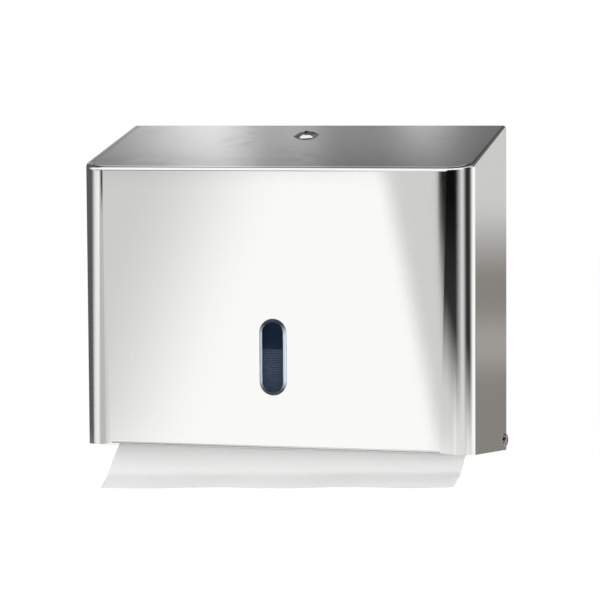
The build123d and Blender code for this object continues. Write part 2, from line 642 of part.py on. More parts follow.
with BuildPart() as cam_screw:
    with BuildSketch(lock_plane.offset(CAM_UNDER)):
        Circle(CAM_SCREW_HEAD_RADIUS)
    extrude(amount=-CAM_SCREW_HEAD_HEIGHT)
    with BuildSketch(lock_plane.offset(CAM_UNDER - CAM_SCREW_HEAD_HEIGHT)):
        Rectangle(2 * CAM_SCREW_HEAD_RADIUS, CAM_SCREW_SLOT)
    extrude(amount=CAM_SCREW_HEAD_HEIGHT / 2, mode=Mode.SUBTRACT)
    with BuildSketch(lock_plane.offset(CAM_UNDER)):
        Circle(CAM_SCREW_RADIUS)
    extrude(amount=CAM_SHEET + CAM_SCREW_GRIP - CAM_CLAMP)

# Towels: the folded stack, and the next towel's panel lying on the ledges and hanging out of the slot
with BuildPart() as towel_stack:
    with BuildSketch(Plane.YZ):
        with Locations((STACK_REAR, STACK_BOTTOM)):
            Rectangle(TOWEL_FOLD, STACK_HEIGHT, align=(Align.MAX, Align.MIN))
    extrude(amount=TOWEL_WIDTH / 2, both=True)
    fillet(towel_stack.edges().filter_by(Axis.X), STACK_EDGE_RADIUS)

LEAF_BEND_Y = -SLOT_SETBACK + LEAF_BEND_OFFSET
left_falls = radians(LEFT_LEAF_SLOPE), radians(LEFT_TIP_SLOPE)
right_falls = radians(RIGHT_LEAF_SLOPE), radians(RIGHT_TIP_SLOPE)
leaf_ends = [
    (-TOWEL_WIDTH / 2, LEAF_RUN_LEFT, LEAF_TIP_LEFT, left_falls),
    (TOWEL_WIDTH / 2, LEAF_RUN_RIGHT, LEAF_TIP_RIGHT, right_falls),
]
with BuildPart() as hanging_towel:
    for leaf_x, run, tip, (fall, tip_fall) in leaf_ends:
        with BuildSketch(Plane.YZ.offset(leaf_x)):
            bend = Vector(LEAF_BEND_Y, LEAF_UNDER + PAPER)
            crease = forwards(bend, run, fall)
            free_end = forwards(crease, tip, tip_fall)
            hidden_end = bend + Vector(TOWEL_FOLD - run - tip, 0)
            bent_sheet([hidden_end, bend, crease, free_end], PAPER, [LEAF_BEND_RADIUS, LEAF_CREASE_RADIUS])
    loft(ruled=True)

pieces = {
    "back_plate": back_plate,
    "left_cheek": left_cheek,
    "right_cheek": right_cheek,
    "rear_ledge": rear_ledge,
    "front_ledge": front_ledge,
    "strike_bracket": strike_bracket,
    "cheek_rivets": cheek_rivets,
    "ledge_rivets": ledge_rivets,
    "strike_rivets": strike_rivets,
    "rubber_buffers": rubber_buffers,
    "left_hinge_pin": left_hinge_pin,
    "right_hinge_pin": right_hinge_pin,
    "left_hinge_spacer": left_hinge_spacer,
    "right_hinge_spacer": right_hinge_spacer,
    "left_hinge_doubler": left_hinge_doubler,
    "right_hinge_doubler": right_hinge_doubler,
    "cover_shell": cover_shell,
    "cover_top": cover_top,
    "window_lens": window_lens,
    "window_retainer": window_retainer,
    "window_studs": window_studs,
    "push_nuts": push_nuts,
    "lock_barrel": lock_barrel,
    "lock_nut": lock_nut,
    "lock_plug": lock_plug,
    "lock_cam": lock_cam,
    "cam_screw": cam_screw,
    "towel_stack": towel_stack,
    "hanging_towel": hanging_towel,
}
os.makedirs("parts", exist_ok=True)
for name, piece in pieces.items():
    piece.part.label = name
    export_step(piece.part, f"parts/{name}.step")
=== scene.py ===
import itertools
import json
import logging
import math
from abc import ABC, abstractmethod
from collections import Counter
from collections.abc import Sequence
from dataclasses import dataclass
from enum import Enum
from typing import NamedTuple

import bmesh
import bpy
from mathutils import Matrix, Vector


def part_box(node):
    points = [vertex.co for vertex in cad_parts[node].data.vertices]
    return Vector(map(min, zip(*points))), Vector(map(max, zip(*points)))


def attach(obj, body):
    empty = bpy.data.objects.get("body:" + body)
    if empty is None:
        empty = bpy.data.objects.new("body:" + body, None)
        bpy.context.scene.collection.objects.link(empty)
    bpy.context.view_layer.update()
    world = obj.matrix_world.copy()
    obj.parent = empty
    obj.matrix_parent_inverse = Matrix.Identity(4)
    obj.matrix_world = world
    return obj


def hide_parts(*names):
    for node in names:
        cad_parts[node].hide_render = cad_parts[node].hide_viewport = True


# Looks of the folded towel dispenser, in metres and in the frame of the CAD part: +Z is up, the front faces -Y,
# the wall is the plane Y = 0 and the origin is the centre of the four wall holes.

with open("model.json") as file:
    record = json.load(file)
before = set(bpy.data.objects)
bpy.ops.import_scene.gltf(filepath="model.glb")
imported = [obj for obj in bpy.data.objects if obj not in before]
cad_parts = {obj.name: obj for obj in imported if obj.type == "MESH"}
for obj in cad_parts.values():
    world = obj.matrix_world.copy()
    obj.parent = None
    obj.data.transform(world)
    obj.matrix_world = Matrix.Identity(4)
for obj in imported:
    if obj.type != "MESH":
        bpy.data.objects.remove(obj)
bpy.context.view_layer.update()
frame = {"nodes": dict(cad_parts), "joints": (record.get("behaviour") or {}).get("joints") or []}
log = logging.getLogger("dispenser")

Colour = tuple[float, float, float]
Pair = tuple[float, float]
Socket = bpy.types.NodeSocket
Feeds = dict[str | int, object]
MILLIMETRE = 0.001
SHARP_ANGLE = 32.0


def grey(level: float) -> Colour:
    """Gives a neutral colour."""
    return (level, level, level)


class Body(Enum):
    """The bodies of the part that a piece can ride on."""

    CHASSIS = "chassis"
    COVER = "cover"
    LOCK = "lock"


class Slot(Enum):
    """The material slots of the part's record, named for the new pieces."""

    RIVET = "rivet_steel"
    CHROME = "lock_chrome"
    ACRYLIC = "smoked_acrylic"
    PAPER = "towel_paper"


class Lay(Enum):
    """Direction in which a sheet was brushed, as the stretch of its grain along X, Y and Z."""

    ALONG_X = (40.0, 4000.0, 4000.0)
    ALONG_Y = (4000.0, 40.0, 4000.0)
    ALONG_Z = (4000.0, 4000.0, 40.0)
    NONE = (700.0, 700.0, 700.0)


# Node trees


class Graph:
    """A node tree, with short calls that add nodes and join their sockets."""

    def __init__(self, tree: bpy.types.NodeTree) -> None:
        """Keeps the tree to build in."""
        self.tree = tree

    def node(self, kind: str, feeds: Feeds | None = None, **settings: object) -> bpy.types.Node:
        """Adds a node.

        Args:
            kind: the node's type, such as ShaderNodeMath.
            feeds: a value or a socket for some of its inputs, by name or number.
            **settings: attributes to set on the node.

        Returns:
            The new node.
        """
        node = self.tree.nodes.new(kind)
        for name, value in settings.items():
            setattr(node, name, value)
        self.feed(node, feeds or {})
        return node

    def feed(self, node: bpy.types.Node, feeds: Feeds) -> None:
        """Joins inputs of a node to sockets, or sets their values.

        Args:
            node: the node.
            feeds: an output socket or a plain value for each input, by name or number.
        """
        for key, value in feeds.items():
            if isinstance(value, Socket):
                self.tree.links.new(value, node.inputs[key])
            else:
                node.inputs[key].default_value = value

    def math(self, operation: str, first: object, second: object = 0.0) -> Socket:
        """Works out a value from one or two others, by an operation such as ADD."""
        return self.node("ShaderNodeMath", {0: first, 1: second}, operation=operation).outputs[0]

    def product(self, first: Socket, *others: object) -> Socket:
        """Multiplies values.

        Args:
            first: the first value's socket.
            *others: the other values or sockets.

        Returns:
            The product's socket.
        """
        for other in others:
            first = self.math("MULTIPLY", first, other)
        return first

    def scaled(self, vector: Socket, factors: object) -> Socket:
        """Multiplies a vector by factors along its three axes."""
        return self.node("ShaderNodeVectorMath", {0: vector, 1: factors}, operation="MULTIPLY").outputs[0]

    def split(self, vector: Socket) -> tuple[Socket, ...]:
        """Gives a vector's X, Y and Z."""
        return tuple(self.node("ShaderNodeSeparateXYZ", {0: vector}).outputs)

    def upright_turn(self, angle: Socket) -> Socket:
        """Gives a rotation about Z by an angle in radians."""
        return self.node("ShaderNodeCombineXYZ", {"Z": angle}).outputs["Vector"]

    def remap(self, value: Socket, start: float, end: float, low: float = 0.0, high: float = 1.0) -> Socket:
        """Maps a value smoothly, from low at and before start to high at and after end."""
        feeds = {"Value": value, "From Min": start, "From Max": end, "To Min": low, "To Max": high}
        return self.node("ShaderNodeMapRange", feeds, interpolation_type="SMOOTHSTEP").outputs[0]

    def noise(self, vector: Socket, scale: object, layers: float) -> Socket:
        """Gives a noise of about 0 to 1, with scale as its features to the metre."""
        return self.node("ShaderNodeTexNoise", {"Vector": vector, "Scale": scale, "Detail": layers}).outputs[0]

    def blend(self, share: Socket, first: object, second: object) -> Socket:
        """Mixes two colours.

        Args:
            share: the second colour's share.
            first: the first colour or its socket.
            second: the second colour or its socket.

        Returns:
            The mixed colour's socket.
        """
        # The colour sockets share their names with the node's other kinds, so they go by number.
        first, second = ((*value, 1.0) if isinstance(value, tuple) else value for value in (first, second))
        return self.node("ShaderNodeMix", {0: share, 6: first, 7: second}, data_type="RGBA").outputs[2]

    def group(self, tree: bpy.types.NodeTree, **feeds: object) -> bpy.types.NodeOutputs:
        """Places a node group with a value or a socket for each of its inputs, and gives its outputs."""
        return self.node("ShaderNodeGroup", feeds, node_tree=tree).outputs


class Pattern(ABC):
    """A Geometry Nodes tree that makes pieces which repeat."""

    title: str
    inputs: dict[str, str]

    def apply(self, carrier: bpy.types.Object, **sizes: object) -> None:
        """Runs the tree on an object and keeps the result as the object's plain mesh.

        Args:
            carrier: the object that carries the tree and becomes the result.
            **sizes: a value for each of the tree's inputs, by name.
        """
        tree = bpy.data.node_groups.new(self.title, "GeometryNodeTree")
        tree.interface.new_socket("Geometry", in_out="INPUT", socket_type="NodeSocketGeometry")
        tree.interface.new_socket("Geometry", in_out="OUTPUT", socket_type="NodeSocketGeometry")
        for name, kind in self.inputs.items():
            tree.interface.new_socket(name, in_out="INPUT", socket_type=kind)
        graph = Graph(tree)
        given = graph.node("NodeGroupInput").outputs
        whole = graph.node("GeometryNodeRealizeInstances", {"Geometry": self.instances(graph, given)})
        feeds = {"Geometry": whole.outputs["Geometry"], "Material": given["Material"]}
        finished = graph.node("GeometryNodeSetMaterial", feeds)
        graph.node("NodeGroupOutput", {"Geometry": finished.outputs["Geometry"]})
        modifier = carrier.modifiers.new(self.title, "NODES")
        modifier.node_group = tree
        sockets = {item.name: item.identifier for item in tree.interface.items_tree if item.in_out == "INPUT"}
        for name, value in sizes.items():
            modifier[sockets[name]] = value
        freeze(carrier)

    def placed(self, graph: Graph, shape: Socket, points: Socket, rotation: Socket) -> Socket:
        """Sets an object on each of a row of points.

        Args:
            graph: the tree.
            shape: the socket with the object.
            points: the socket with the points.
            rotation: the socket with each instance's rotation.

        Returns:
            The socket with the instances.
        """
        source = graph.node("GeometryNodeObjectInfo", {"Object": shape})
        feeds = {"Points": points, "Instance": source.outputs["Geometry"], "Rotation": rotation}
        return graph.node("GeometryNodeInstanceOnPoints", feeds).outputs["Instances"]

    @abstractmethod
    def instances(self, graph: Graph, given: bpy.types.NodeOutputs) -> Socket:
        """Adds the nodes that place the instances.

        Args:
            graph: the tree.
            given: the sockets of the tree's inputs.

        Returns:
            The socket with the instances.
        """


class RivetPattern(Pattern):
    """Sets a head on each of the carrier's points, turned the way that the point faces."""

    title = "Rivet pattern"
    inputs = {"Head": "NodeSocketObject", "Material": "NodeSocketMaterial", "Seed": "NodeSocketInt"}

    def instances(self, graph: Graph, given: bpy.types.NodeOutputs) -> Socket:
        """Adds the heads, each with a turn of its own about its axis."""
        facing = graph.node("GeometryNodeInputNamedAttribute", {"Name": "facing"}, data_type="FLOAT_VECTOR")
        feeds = {"Vector": facing.outputs["Attribute"]}
        aligned = graph.node("FunctionNodeAlignRotationToVector", feeds, axis="Z")
        heads = self.placed(graph, given["Head"], given["Geometry"], aligned.outputs["Rotation"])
        # Input 3 is the greatest plain number, and output 1 the number.
        turn = graph.node("FunctionNodeRandomValue", {3: math.tau, "Seed": given["Seed"]}, data_type="FLOAT")
        feeds = {"Instances": heads, "Rotation": graph.upright_turn(turn.outputs[1])}
        return graph.node("GeometryNodeRotateInstances", feeds).outputs["Instances"]


class StackPattern(Pattern):
    """Piles folded towels, each a little askew and every second one the other way round."""

    title = "Stack pattern"
    inputs = {
        "Towel": "NodeSocketObject",
        "Material": "NodeSocketMaterial",
        "Count": "NodeSocketInt",
        "Rise": "NodeSocketVector",
        "Stray": "NodeSocketVector",
        "Seed": "NodeSocketInt",
    }

    def instances(self, graph: Graph, given: bpy.types.NodeOutputs) -> Socket:
        """Adds the towels from the bottom up."""
        row = graph.node("GeometryNodeMeshLine", {"Count": given["Count"], "Offset": given["Rise"]})
        order = graph.node("GeometryNodeInputIndex").outputs["Index"]
        round_about = graph.upright_turn(graph.product(graph.math("MODULO", order, 2.0), math.pi))
        pile = self.placed(graph, given["Towel"], row.outputs["Mesh"], round_about)
        # Inputs 0 and 1 are the least and the greatest vector, and output 0 the vector.
        feeds = {0: graph.scaled(given["Stray"], (-1.0, -1.0, -1.0)), 1: given["Stray"], "Seed": given["Seed"]}
        stray = graph.node("FunctionNodeRandomValue", feeds, data_type="FLOAT_VECTOR")
        feeds = {"Instances": pile, "Translation": stray.outputs[0], "Local Space": False}
        return graph.node("GeometryNodeTranslateInstances", feeds).outputs["Instances"]


class SharedEffect(ABC):
    """A shader node group that several finishes use, built once."""

    title: str
    inputs: dict[str, str]
    outputs: tuple[str, ...]

    def tree(self) -> bpy.types.NodeTree:
        """Gives the group's tree, and builds it the first time.

        Returns:
            The node tree.
        """
        if self.title in bpy.data.node_groups:
            return bpy.data.node_groups[self.title]
        tree = bpy.data.node_groups.new(self.title, "ShaderNodeTree")
        for name, kind in self.inputs.items():
            tree.interface.new_socket(name, in_out="INPUT", socket_type=kind)
        for name in self.outputs:
            tree.interface.new_socket(name, in_out="OUTPUT", socket_type="NodeSocketFloat")
        graph = Graph(tree)
        graph.node("NodeGroupOutput", self.results(graph, graph.node("NodeGroupInput").outputs))
        return tree

    @abstractmethod
    def results(self, graph: Graph, given: bpy.types.NodeOutputs) -> Feeds:
        """Adds the group's nodes.

        Args:
            graph: the group's tree.
            given: the sockets of the group's inputs.

        Returns:
            A socket for each of the group's outputs.
        """


class SheetGrain(SharedEffect):
    """Fine lines left by brushing or rolling."""

    title = "Sheet grain"
    inputs = {"Vector": "NodeSocketVector", "Stretch": "NodeSocketVector"}
    outputs = ("Grain",)
    layers = 3.0
    contrast = (0.3, 0.7)

    def results(self, graph: Graph, given: bpy.types.NodeOutputs) -> Feeds:
        """Adds a noise drawn out along the grain."""
        lines = graph.noise(graph.scaled(given["Vector"], given["Stretch"]), 1.0, self.layers)
        return {"Grain": graph.remap(lines, *self.contrast)}


class HandlingMarks(SharedEffect):
    """Soft smears and finger marks."""

    title = "Handling marks"
    inputs = {"Vector": "NodeSocketVector", "Size": "NodeSocketFloat"}
    outputs = ("Mask",)
    broad_layers = 2.0
    broad_contrast = (0.48, 0.72)
    small_layers = 3.0
    small_contrast = (0.35, 0.7)
    broad_to_small = 5.0

    def results(self, graph: Graph, given: bpy.types.NodeOutputs) -> Feeds:
        """Adds broad smears broken up by smaller ones."""
        scale = graph.math("DIVIDE", 1.0, given["Size"])
        broad = graph.noise(given["Vector"], scale, self.broad_layers)
        small = graph.noise(given["Vector"], graph.product(scale, self.broad_to_small), self.small_layers)
        smears = graph.remap(broad, *self.broad_contrast)
        return {"Mask": graph.product(smears, graph.remap(small, *self.small_contrast))}


class PaperEmboss(SharedEffect):
    """Crepe wrinkles and pressed dots of towel paper."""

    title = "Paper emboss"
    inputs = {"Vector": "NodeSocketVector", "Pitch": "NodeSocketFloat"}
    outputs = ("Height", "Fibre")
    dot_edge = (0.15, 0.45)
    dot_share = 0.6
    crepe_stretch = (350.0, 1600.0, 1600.0)
    crepe_layers = 3.0
    fibre_scale = 900.0
    fibre_layers = 4.0
    fibre_contrast = (0.35, 0.7)

    def results(self, graph: Graph, given: bpy.types.NodeOutputs) -> Feeds:
        """Adds pressed dots, crepe lines and loose fibres."""
        feeds = {"Vector": given["Vector"], "Scale": graph.math("DIVIDE", 1.0, given["Pitch"])}
        dots = graph.node("ShaderNodeTexVoronoi", feeds)
        pressed = graph.remap(dots.outputs["Distance"], *self.dot_edge)
        crepe = graph.noise(graph.scaled(given["Vector"], self.crepe_stretch), 1.0, self.crepe_layers)
        height = graph.math("ADD", graph.product(pressed, self.dot_share), crepe)
        fibres = graph.noise(given["Vector"], self.fibre_scale, self.fibre_layers)
        return {"Height": height, "Fibre": graph.remap(fibres, *self.fibre_contrast)}


class CoverZones(SharedEffect):
    """Zones of the folded cover: its flat sides, its inner face and the fold above each side, the last two for painted
    shade.
    """

    title = "Cover zones"
    inputs = {"Vector": "NodeSocketVector"}
    outputs = ("Side", "Inside", "Ground")
    flat_half = 120.5 * MILLIMETRE
    flat_front = 105.0 * MILLIMETRE
    slope = math.radians(12.4)
    rear_edge = (4.0 * MILLIMETRE, 114.5 * MILLIMETRE)
    wall = (16.3 * MILLIMETRE, 16.7 * MILLIMETRE)
    wall_depth = (0.8 * MILLIMETRE, 0.9 * MILLIMETRE)
    side = (136.2 * MILLIMETRE, 137.4 * MILLIMETRE)
    fold = (132.2 * MILLIMETRE, 132.7 * MILLIMETRE)
    fold_depth = (2.2 * MILLIMETRE, 3.2 * MILLIMETRE)
    fold_front = (106.0 * MILLIMETRE, 116.0 * MILLIMETRE)

    def results(self, graph: Graph, given: bpy.types.NodeOutputs) -> Feeds:
        """Adds masks worked out from the cover's own sizes."""
        aside, behind, height = graph.split(given["Vector"])
        across = graph.math("ABSOLUTE", aside)
        ahead = graph.product(behind, -1.0)
        past_side = graph.math("MAXIMUM", graph.math("SUBTRACT", across, self.flat_half), 0.0)
        past_front = graph.math("MAXIMUM", graph.math("SUBTRACT", ahead, self.flat_front), 0.0)
        squares = graph.math("ADD", graph.math("POWER", past_side, 2.0), graph.math("POWER", past_front, 2.0))
        inner = graph.remap(graph.math("SQRT", squares), *self.wall, 1.0, 0.0)
        fall = graph.product(graph.math("SUBTRACT", ahead, self.rear_edge[0]), math.tan(self.slope))
        below = graph.math("SUBTRACT", graph.math("SUBTRACT", self.rear_edge[1], fall), height)
        # The fold above each side, which the cover steel darkens as painted shade.
        fold = graph.remap(across, *self.fold)
        high = graph.remap(below, *self.fold_depth, 1.0, 0.0)
        rear = graph.remap(ahead, *self.fold_front, 1.0, 0.0)
        return {
            "Side": graph.remap(across, *self.side),
            "Inside": graph.product(inner, graph.remap(below, *self.wall_depth)),
            "Ground": graph.product(fold, high, rear),
        }


# Finishes


def new_material(name: str) -> tuple[bpy.types.Material, Graph, bpy.types.Node]:
    """Makes a material.

    Args:
        name: the material's name.

    Returns:
        The material, its tree and its Principled BSDF.
    """
    material = bpy.data.materials.new(name)
    material.use_nodes = True
    return material, Graph(material.node_tree), material.node_tree.nodes["Principled BSDF"]


@dataclass(frozen=True)
class Finish(ABC):
    """A finish, which makes one material for every piece that has it."""

    name: str

    def material(self) -> bpy.types.Material:
        """Gives the finish's material, and builds it the first time.

        Returns:
            The material.
        """
        if self.name in bpy.data.materials:
            return bpy.data.materials[self.name]
        material, graph, shader = new_material(self.name)
        self.dress(graph, shader, graph.node("ShaderNodeTexCoord").outputs["Object"])
        return material

    @abstractmethod
    def dress(self, graph: Graph, shader: bpy.types.Node, place: Socket) -> None:
        """Adds the finish's nodes.

        Args:
            graph: the material's tree.
            shader: the material's Principled BSDF.
            place: the socket with the point's place on the piece.
        """

    def relief(self, graph: Graph, shader: bpy.types.Node, height: Socket, depth: float) -> None:
        """Adds a fine relief to the surface.

        Args:
            graph: the material's tree.
            shader: the material's Principled BSDF.
            height: the relief's height, in shares of its depth.
            depth: how deep the relief is, in metres.
        """
        bump = graph.node("ShaderNodeBump", {"Distance": depth, "Height": height})
        graph.feed(shader, {"Normal": bump.outputs["Normal"]})

    def scuff(self, graph: Graph, shader: bpy.types.Node, place: Socket, size: float, roughness: float) -> Socket:
        """Adds faint scuffs, which are twice as rough as the rest.

        Args:
            graph: the material's tree.
            shader: the material's Principled BSDF.
            place: the socket with the point's place on the piece.
            size: how wide a scuff is, in metres.
            roughness: the roughness between the scuffs.

        Returns:
            The socket with the mask of the scuffs.
        """
        scuffs = graph.group(HandlingMarks().tree(), Vector=place, Size=size)["Mask"]
        graph.feed(shader, {"Roughness": graph.remap(scuffs, 0.0, 1.0, roughness, 2 * roughness)})
        return scuffs


@dataclass(frozen=True)
class Steel(Finish):
    """Bare steel sheet or turned steel."""

    light: Colour
    dark: Colour
    roughness: float
    lay: Lay
    grain: float
    smears: float
    smear_size: float = 60.0 * MILLIMETRE
    depth: float = 0.0

    def dress(self, graph: Graph, shader: bpy.types.Node, place: Socket) -> None:
        """Adds grain, smears and a slight change of tone."""
        grain = graph.group(SheetGrain().tree(), Vector=place, Stretch=self.lay.value)["Grain"]
        smears = graph.group(HandlingMarks().tree(), Vector=place, Size=self.smear_size)["Mask"]
        graph.feed(shader, {"Metallic": 1.0})
        rough = graph.math("ADD", graph.product(grain, self.grain), self.roughness)
        rough = graph.math("ADD", rough, graph.product(smears, self.smears))
        self.colour(graph, shader, place, graph.blend(grain, self.light, self.dark), rough)
        if self.depth:
            self.relief(graph, shader, grain, self.depth)

    def colour(self, graph: Graph, shader: bpy.types.Node, place: Socket, tone: Socket, rough: Socket) -> None:
        """Feeds the shader's colour and roughness as they are, in every place alike."""
        graph.feed(shader, {"Base Color": tone, "Roughness": rough})


@dataclass(frozen=True)
class CoverSteel(Steel):
    """Cover sheet: bright outside, rougher on the flat sides, with a rough inner face and a rougher fold above each
    side, both darkened as painted shade.
    """

    side_roughness: float = 0.0
    # Painted shade: a dark tone for the inner face, where shade falls inside the cover, and one for the fold above each
    # side, which dims its highlight.
    inner_shade: Colour = grey(0.3)
    dull_roughness: float = 0.4
    fold_shade: Colour = grey(0.81)
    fold_roughness: float = 0.12

    def colour(self, graph: Graph, shader: bpy.types.Node, place: Socket, tone: Socket, rough: Socket) -> None:
        """Feeds the shader's colour and roughness, each changed by the zones of the cover."""
        zones = graph.group(CoverZones().tree(), Vector=place)
        # Painted shade: the inner face and the fold above each side take darker tones. The inner face's higher
        # roughness is its real rougher finish.
        tone = graph.blend(zones["Ground"], graph.blend(zones["Inside"], tone, self.inner_shade), self.fold_shade)
        rough = graph.math("ADD", rough, graph.product(zones["Side"], self.side_roughness))
        for zone, least in (("Inside", self.dull_roughness), ("Ground", self.fold_roughness)):
            rough = graph.math("MAXIMUM", rough, graph.product(zones[zone], least))
        super().colour(graph, shader, place, tone, rough)


@dataclass(frozen=True)
class Acrylic(Finish):
    """Smoked clear acrylic."""

    tint: Colour
    haze: Colour
    roughness: float
    refraction: float = 1.35
    glint: Colour = (0.29, 0.51, 1.0)
    scuff_size: float = 12.0 * MILLIMETRE

    def dress(self, graph: Graph, shader: bpy.types.Node, place: Socket) -> None:
        """Adds a tint that varies a little, and faint scuffs."""
        scuffs = self.scuff(graph, shader, place, self.scuff_size, self.roughness)
        feeds = {"Transmission Weight": 1.0, "IOR": self.refraction, "Specular Tint": (*self.glint, 1.0)}
        graph.feed(shader, feeds | {"Base Color": graph.blend(scuffs, self.tint, self.haze)})


@dataclass(frozen=True)
class BevelledRim(Finish):
    """Bevel of a clear lens, with a painted highlight along its upright sides and painted shade at its round ends."""

    light: Colour
    dark: Colour
    roughness: float
    middle: float
    bright_half: float = 15.0 * MILLIMETRE
    dark_half: float = 23.0 * MILLIMETRE
    scuff_size: float = 8.0 * MILLIMETRE

    def dress(self, graph: Graph, shader: bpy.types.Node, place: Socket) -> None:
        """Adds the painted highlight and shade along the rim, and faint scuffs."""
        self.scuff(graph, shader, place, self.scuff_size, self.roughness)
        _, _, height = graph.split(place)
        along = graph.math("ABSOLUTE", graph.math("SUBTRACT", height, self.middle))
        # Painted highlight and shade: the tint is light along the straight sides and nearly black at the round ends.
        ends = graph.remap(along, self.bright_half, self.dark_half)
        graph.feed(shader, {"Base Color": graph.blend(ends, self.light, self.dark)})


@dataclass(frozen=True)
class Moulded(Finish):
    """Plastic or rubber with a fine moulded skin."""

    light: Colour
    dark: Colour
    roughness: float
    depth: float
    mottle_size: float = 10.0 * MILLIMETRE
    roughness_span: float = 0.1

    def dress(self, graph: Graph, shader: bpy.types.Node, place: Socket) -> None:
        """Adds a mottled colour and a fine skin."""
        mottle = graph.group(HandlingMarks().tree(), Vector=place, Size=self.mottle_size)["Mask"]
        skin = graph.group(SheetGrain().tree(), Vector=place, Stretch=Lay.NONE.value)["Grain"]
        rough = graph.remap(skin, 0.0, 1.0, self.roughness, self.roughness + self.roughness_span)
        graph.feed(shader, {"Base Color": graph.blend(mottle, self.light, self.dark), "Roughness": rough})
        self.relief(graph, shader, skin, self.depth)


@dataclass(frozen=True)
class Paper(Finish):
    """Soft two-ply towel paper."""

    light: Colour
    dark: Colour
    pitch: float
    depth: float
    glow: float = 0.85
    glow_reach: float = 2.0 * MILLIMETRE
    specular: float = 0.15
    roughness: Pair = (0.85, 0.97)

    def dress(self, graph: Graph, shader: bpy.types.Node, place: Socket) -> None:
        """Adds emboss and fibres, and lets light through."""
        emboss = graph.group(PaperEmboss().tree(), Vector=place, Pitch=self.pitch)
        feeds = {
            "Subsurface Weight": self.glow,
            "Subsurface Radius": (1.0, 1.0, 1.0),
            "Subsurface Scale": self.glow_reach,
            "Specular IOR Level": self.specular,
            "Base Color": graph.blend(emboss["Fibre"], self.light, self.dark),
            "Roughness": graph.remap(emboss["Fibre"], 0.0, 1.0, *self.roughness),
        }
        graph.feed(shader, feeds)
        self.relief(graph, shader, emboss["Height"], self.depth)


MIRROR_STEEL = CoverSteel(
    "mirror steel",
    light=(0.96, 0.96, 0.95),
    dark=(0.94, 0.94, 0.93),
    roughness=0.02,
    lay=Lay.ALONG_Z,
    grain=0.008,
    smears=0.015,
    side_roughness=0.08,
)
SATIN_STEEL = CoverSteel(
    "satin steel",
    light=grey(0.84),
    dark=(0.78, 0.78, 0.79),
    roughness=0.1,
    lay=Lay.ALONG_Y,
    grain=0.04,
    smears=0.04,
)
MILL_STEEL = Steel(
    "mill steel",
    light=(0.62, 0.62, 0.61),
    dark=grey(0.52),
    roughness=0.32,
    lay=Lay.ALONG_X,
    grain=0.08,
    smears=0.1,
    smear_size=50.0 * MILLIMETRE,
    depth=0.01 * MILLIMETRE,
)
FASTENER_STEEL = Steel(
    "fastener steel",
    light=(0.7, 0.7, 0.69),
    dark=grey(0.6),
    roughness=0.22,
    lay=Lay.NONE,
    grain=0.08,
    smears=0.1,
    smear_size=4.0 * MILLIMETRE,
)
PIN_STEEL = Steel(
    "pin steel",
    light=(0.36, 0.35, 0.34),
    dark=(0.28, 0.275, 0.27),
    roughness=0.14,
    lay=Lay.NONE,
    grain=0.06,
    smears=0.08,
    smear_size=4.0 * MILLIMETRE,
)
BRIGHT_CHROME = Steel(
    "bright chrome",
    light=(0.87, 0.87, 0.88),
    dark=(0.84, 0.84, 0.85),
    roughness=0.06,
    lay=Lay.NONE,
    grain=0.02,
    smears=0.05,
    smear_size=8.0 * MILLIMETRE,
)
SMOKED_ACRYLIC = Acrylic(
    "smoked acrylic", tint=(0.286, 0.317, 0.381), haze=(0.325, 0.352, 0.412), roughness=0.05
)
# The lens rim's tint holds a painted highlight on the sides and painted shade at the ends.
LENS_RIM = BevelledRim(
    "lens rim", light=(0.31, 0.35, 0.41), dark=(0.02, 0.024, 0.034), roughness=0.2, middle=-39.6 * MILLIMETRE
)
WHITE_NYLON = Moulded(
    "white nylon", light=(0.8, 0.79, 0.75), dark=(0.72, 0.71, 0.67), roughness=0.45, depth=0.02 * MILLIMETRE
)
BLACK_RUBBER = Moulded(
    "black rubber", light=grey(0.03), dark=grey(0.05), roughness=0.7, depth=0.03 * MILLIMETRE
)
TOWEL_PAPER = Paper(
    "towel paper",
    light=(0.83, 0.83, 0.82),
    dark=(0.81, 0.81, 0.8),
    pitch=2.1 * MILLIMETRE,
    depth=0.012 * MILLIMETRE,
)


# Meshes


def add_piece(name: str, points: Sequence[Vector], faces: Sequence[Sequence[int]]) -> bpy.types.Object:
    """Makes an object from points and faces.

    Args:
        name: the piece's name.
        points: its vertices, in the part's frame.
        faces: its faces, each a row of vertex numbers.

    Returns:
        The new object.
    """
    mesh = bpy.data.meshes.new(name)
    mesh.from_pydata([tuple(point) for point in points], [], faces)
    piece = bpy.data.objects.new(name, mesh)
    bpy.context.collection.objects.link(piece)
    return piece


def skin_rings(rings: Sequence[Sequence[Vector]], closed: bool) -> tuple[list[Vector], list[tuple[int, ...]]]:
    """Joins closed rings of points, each to the next.

    Args:
        rings: rings with the same number of points.
        closed: True if the last ring joins the first, False if both ends get a flat face.

    Returns:
        The points and the faces of the skin.
    """
    count = len(rings[0])
    points = [point for ring in rings for point in ring]
    faces: list[tuple[int, ...]] = []
    for step in range(len(rings) if closed else len(rings) - 1):
        start, following = step * count, (step + 1) % len(rings) * count
        for turn in range(count):
            after = (turn + 1) % count
            faces.append((start + turn, start + after, following + after, following + turn))
    if not closed:
        faces.append(tuple(reversed(range(count))))
        faces.append(tuple(range(len(points) - count, len(points))))
    return points, faces


def grid_faces(lines: int, length: int) -> list[tuple[int, ...]]:
    """Joins lines of points, each to the next, in an open sheet.

    Args:
        lines: the number of lines.
        length: the number of points in each line.

    Returns:
        The faces of the sheet.
    """
    starts = (line * length + step for line in range(lines - 1) for step in range(length - 1))
    return [(start, start + length, start + length + 1, start + 1) for start in starts]


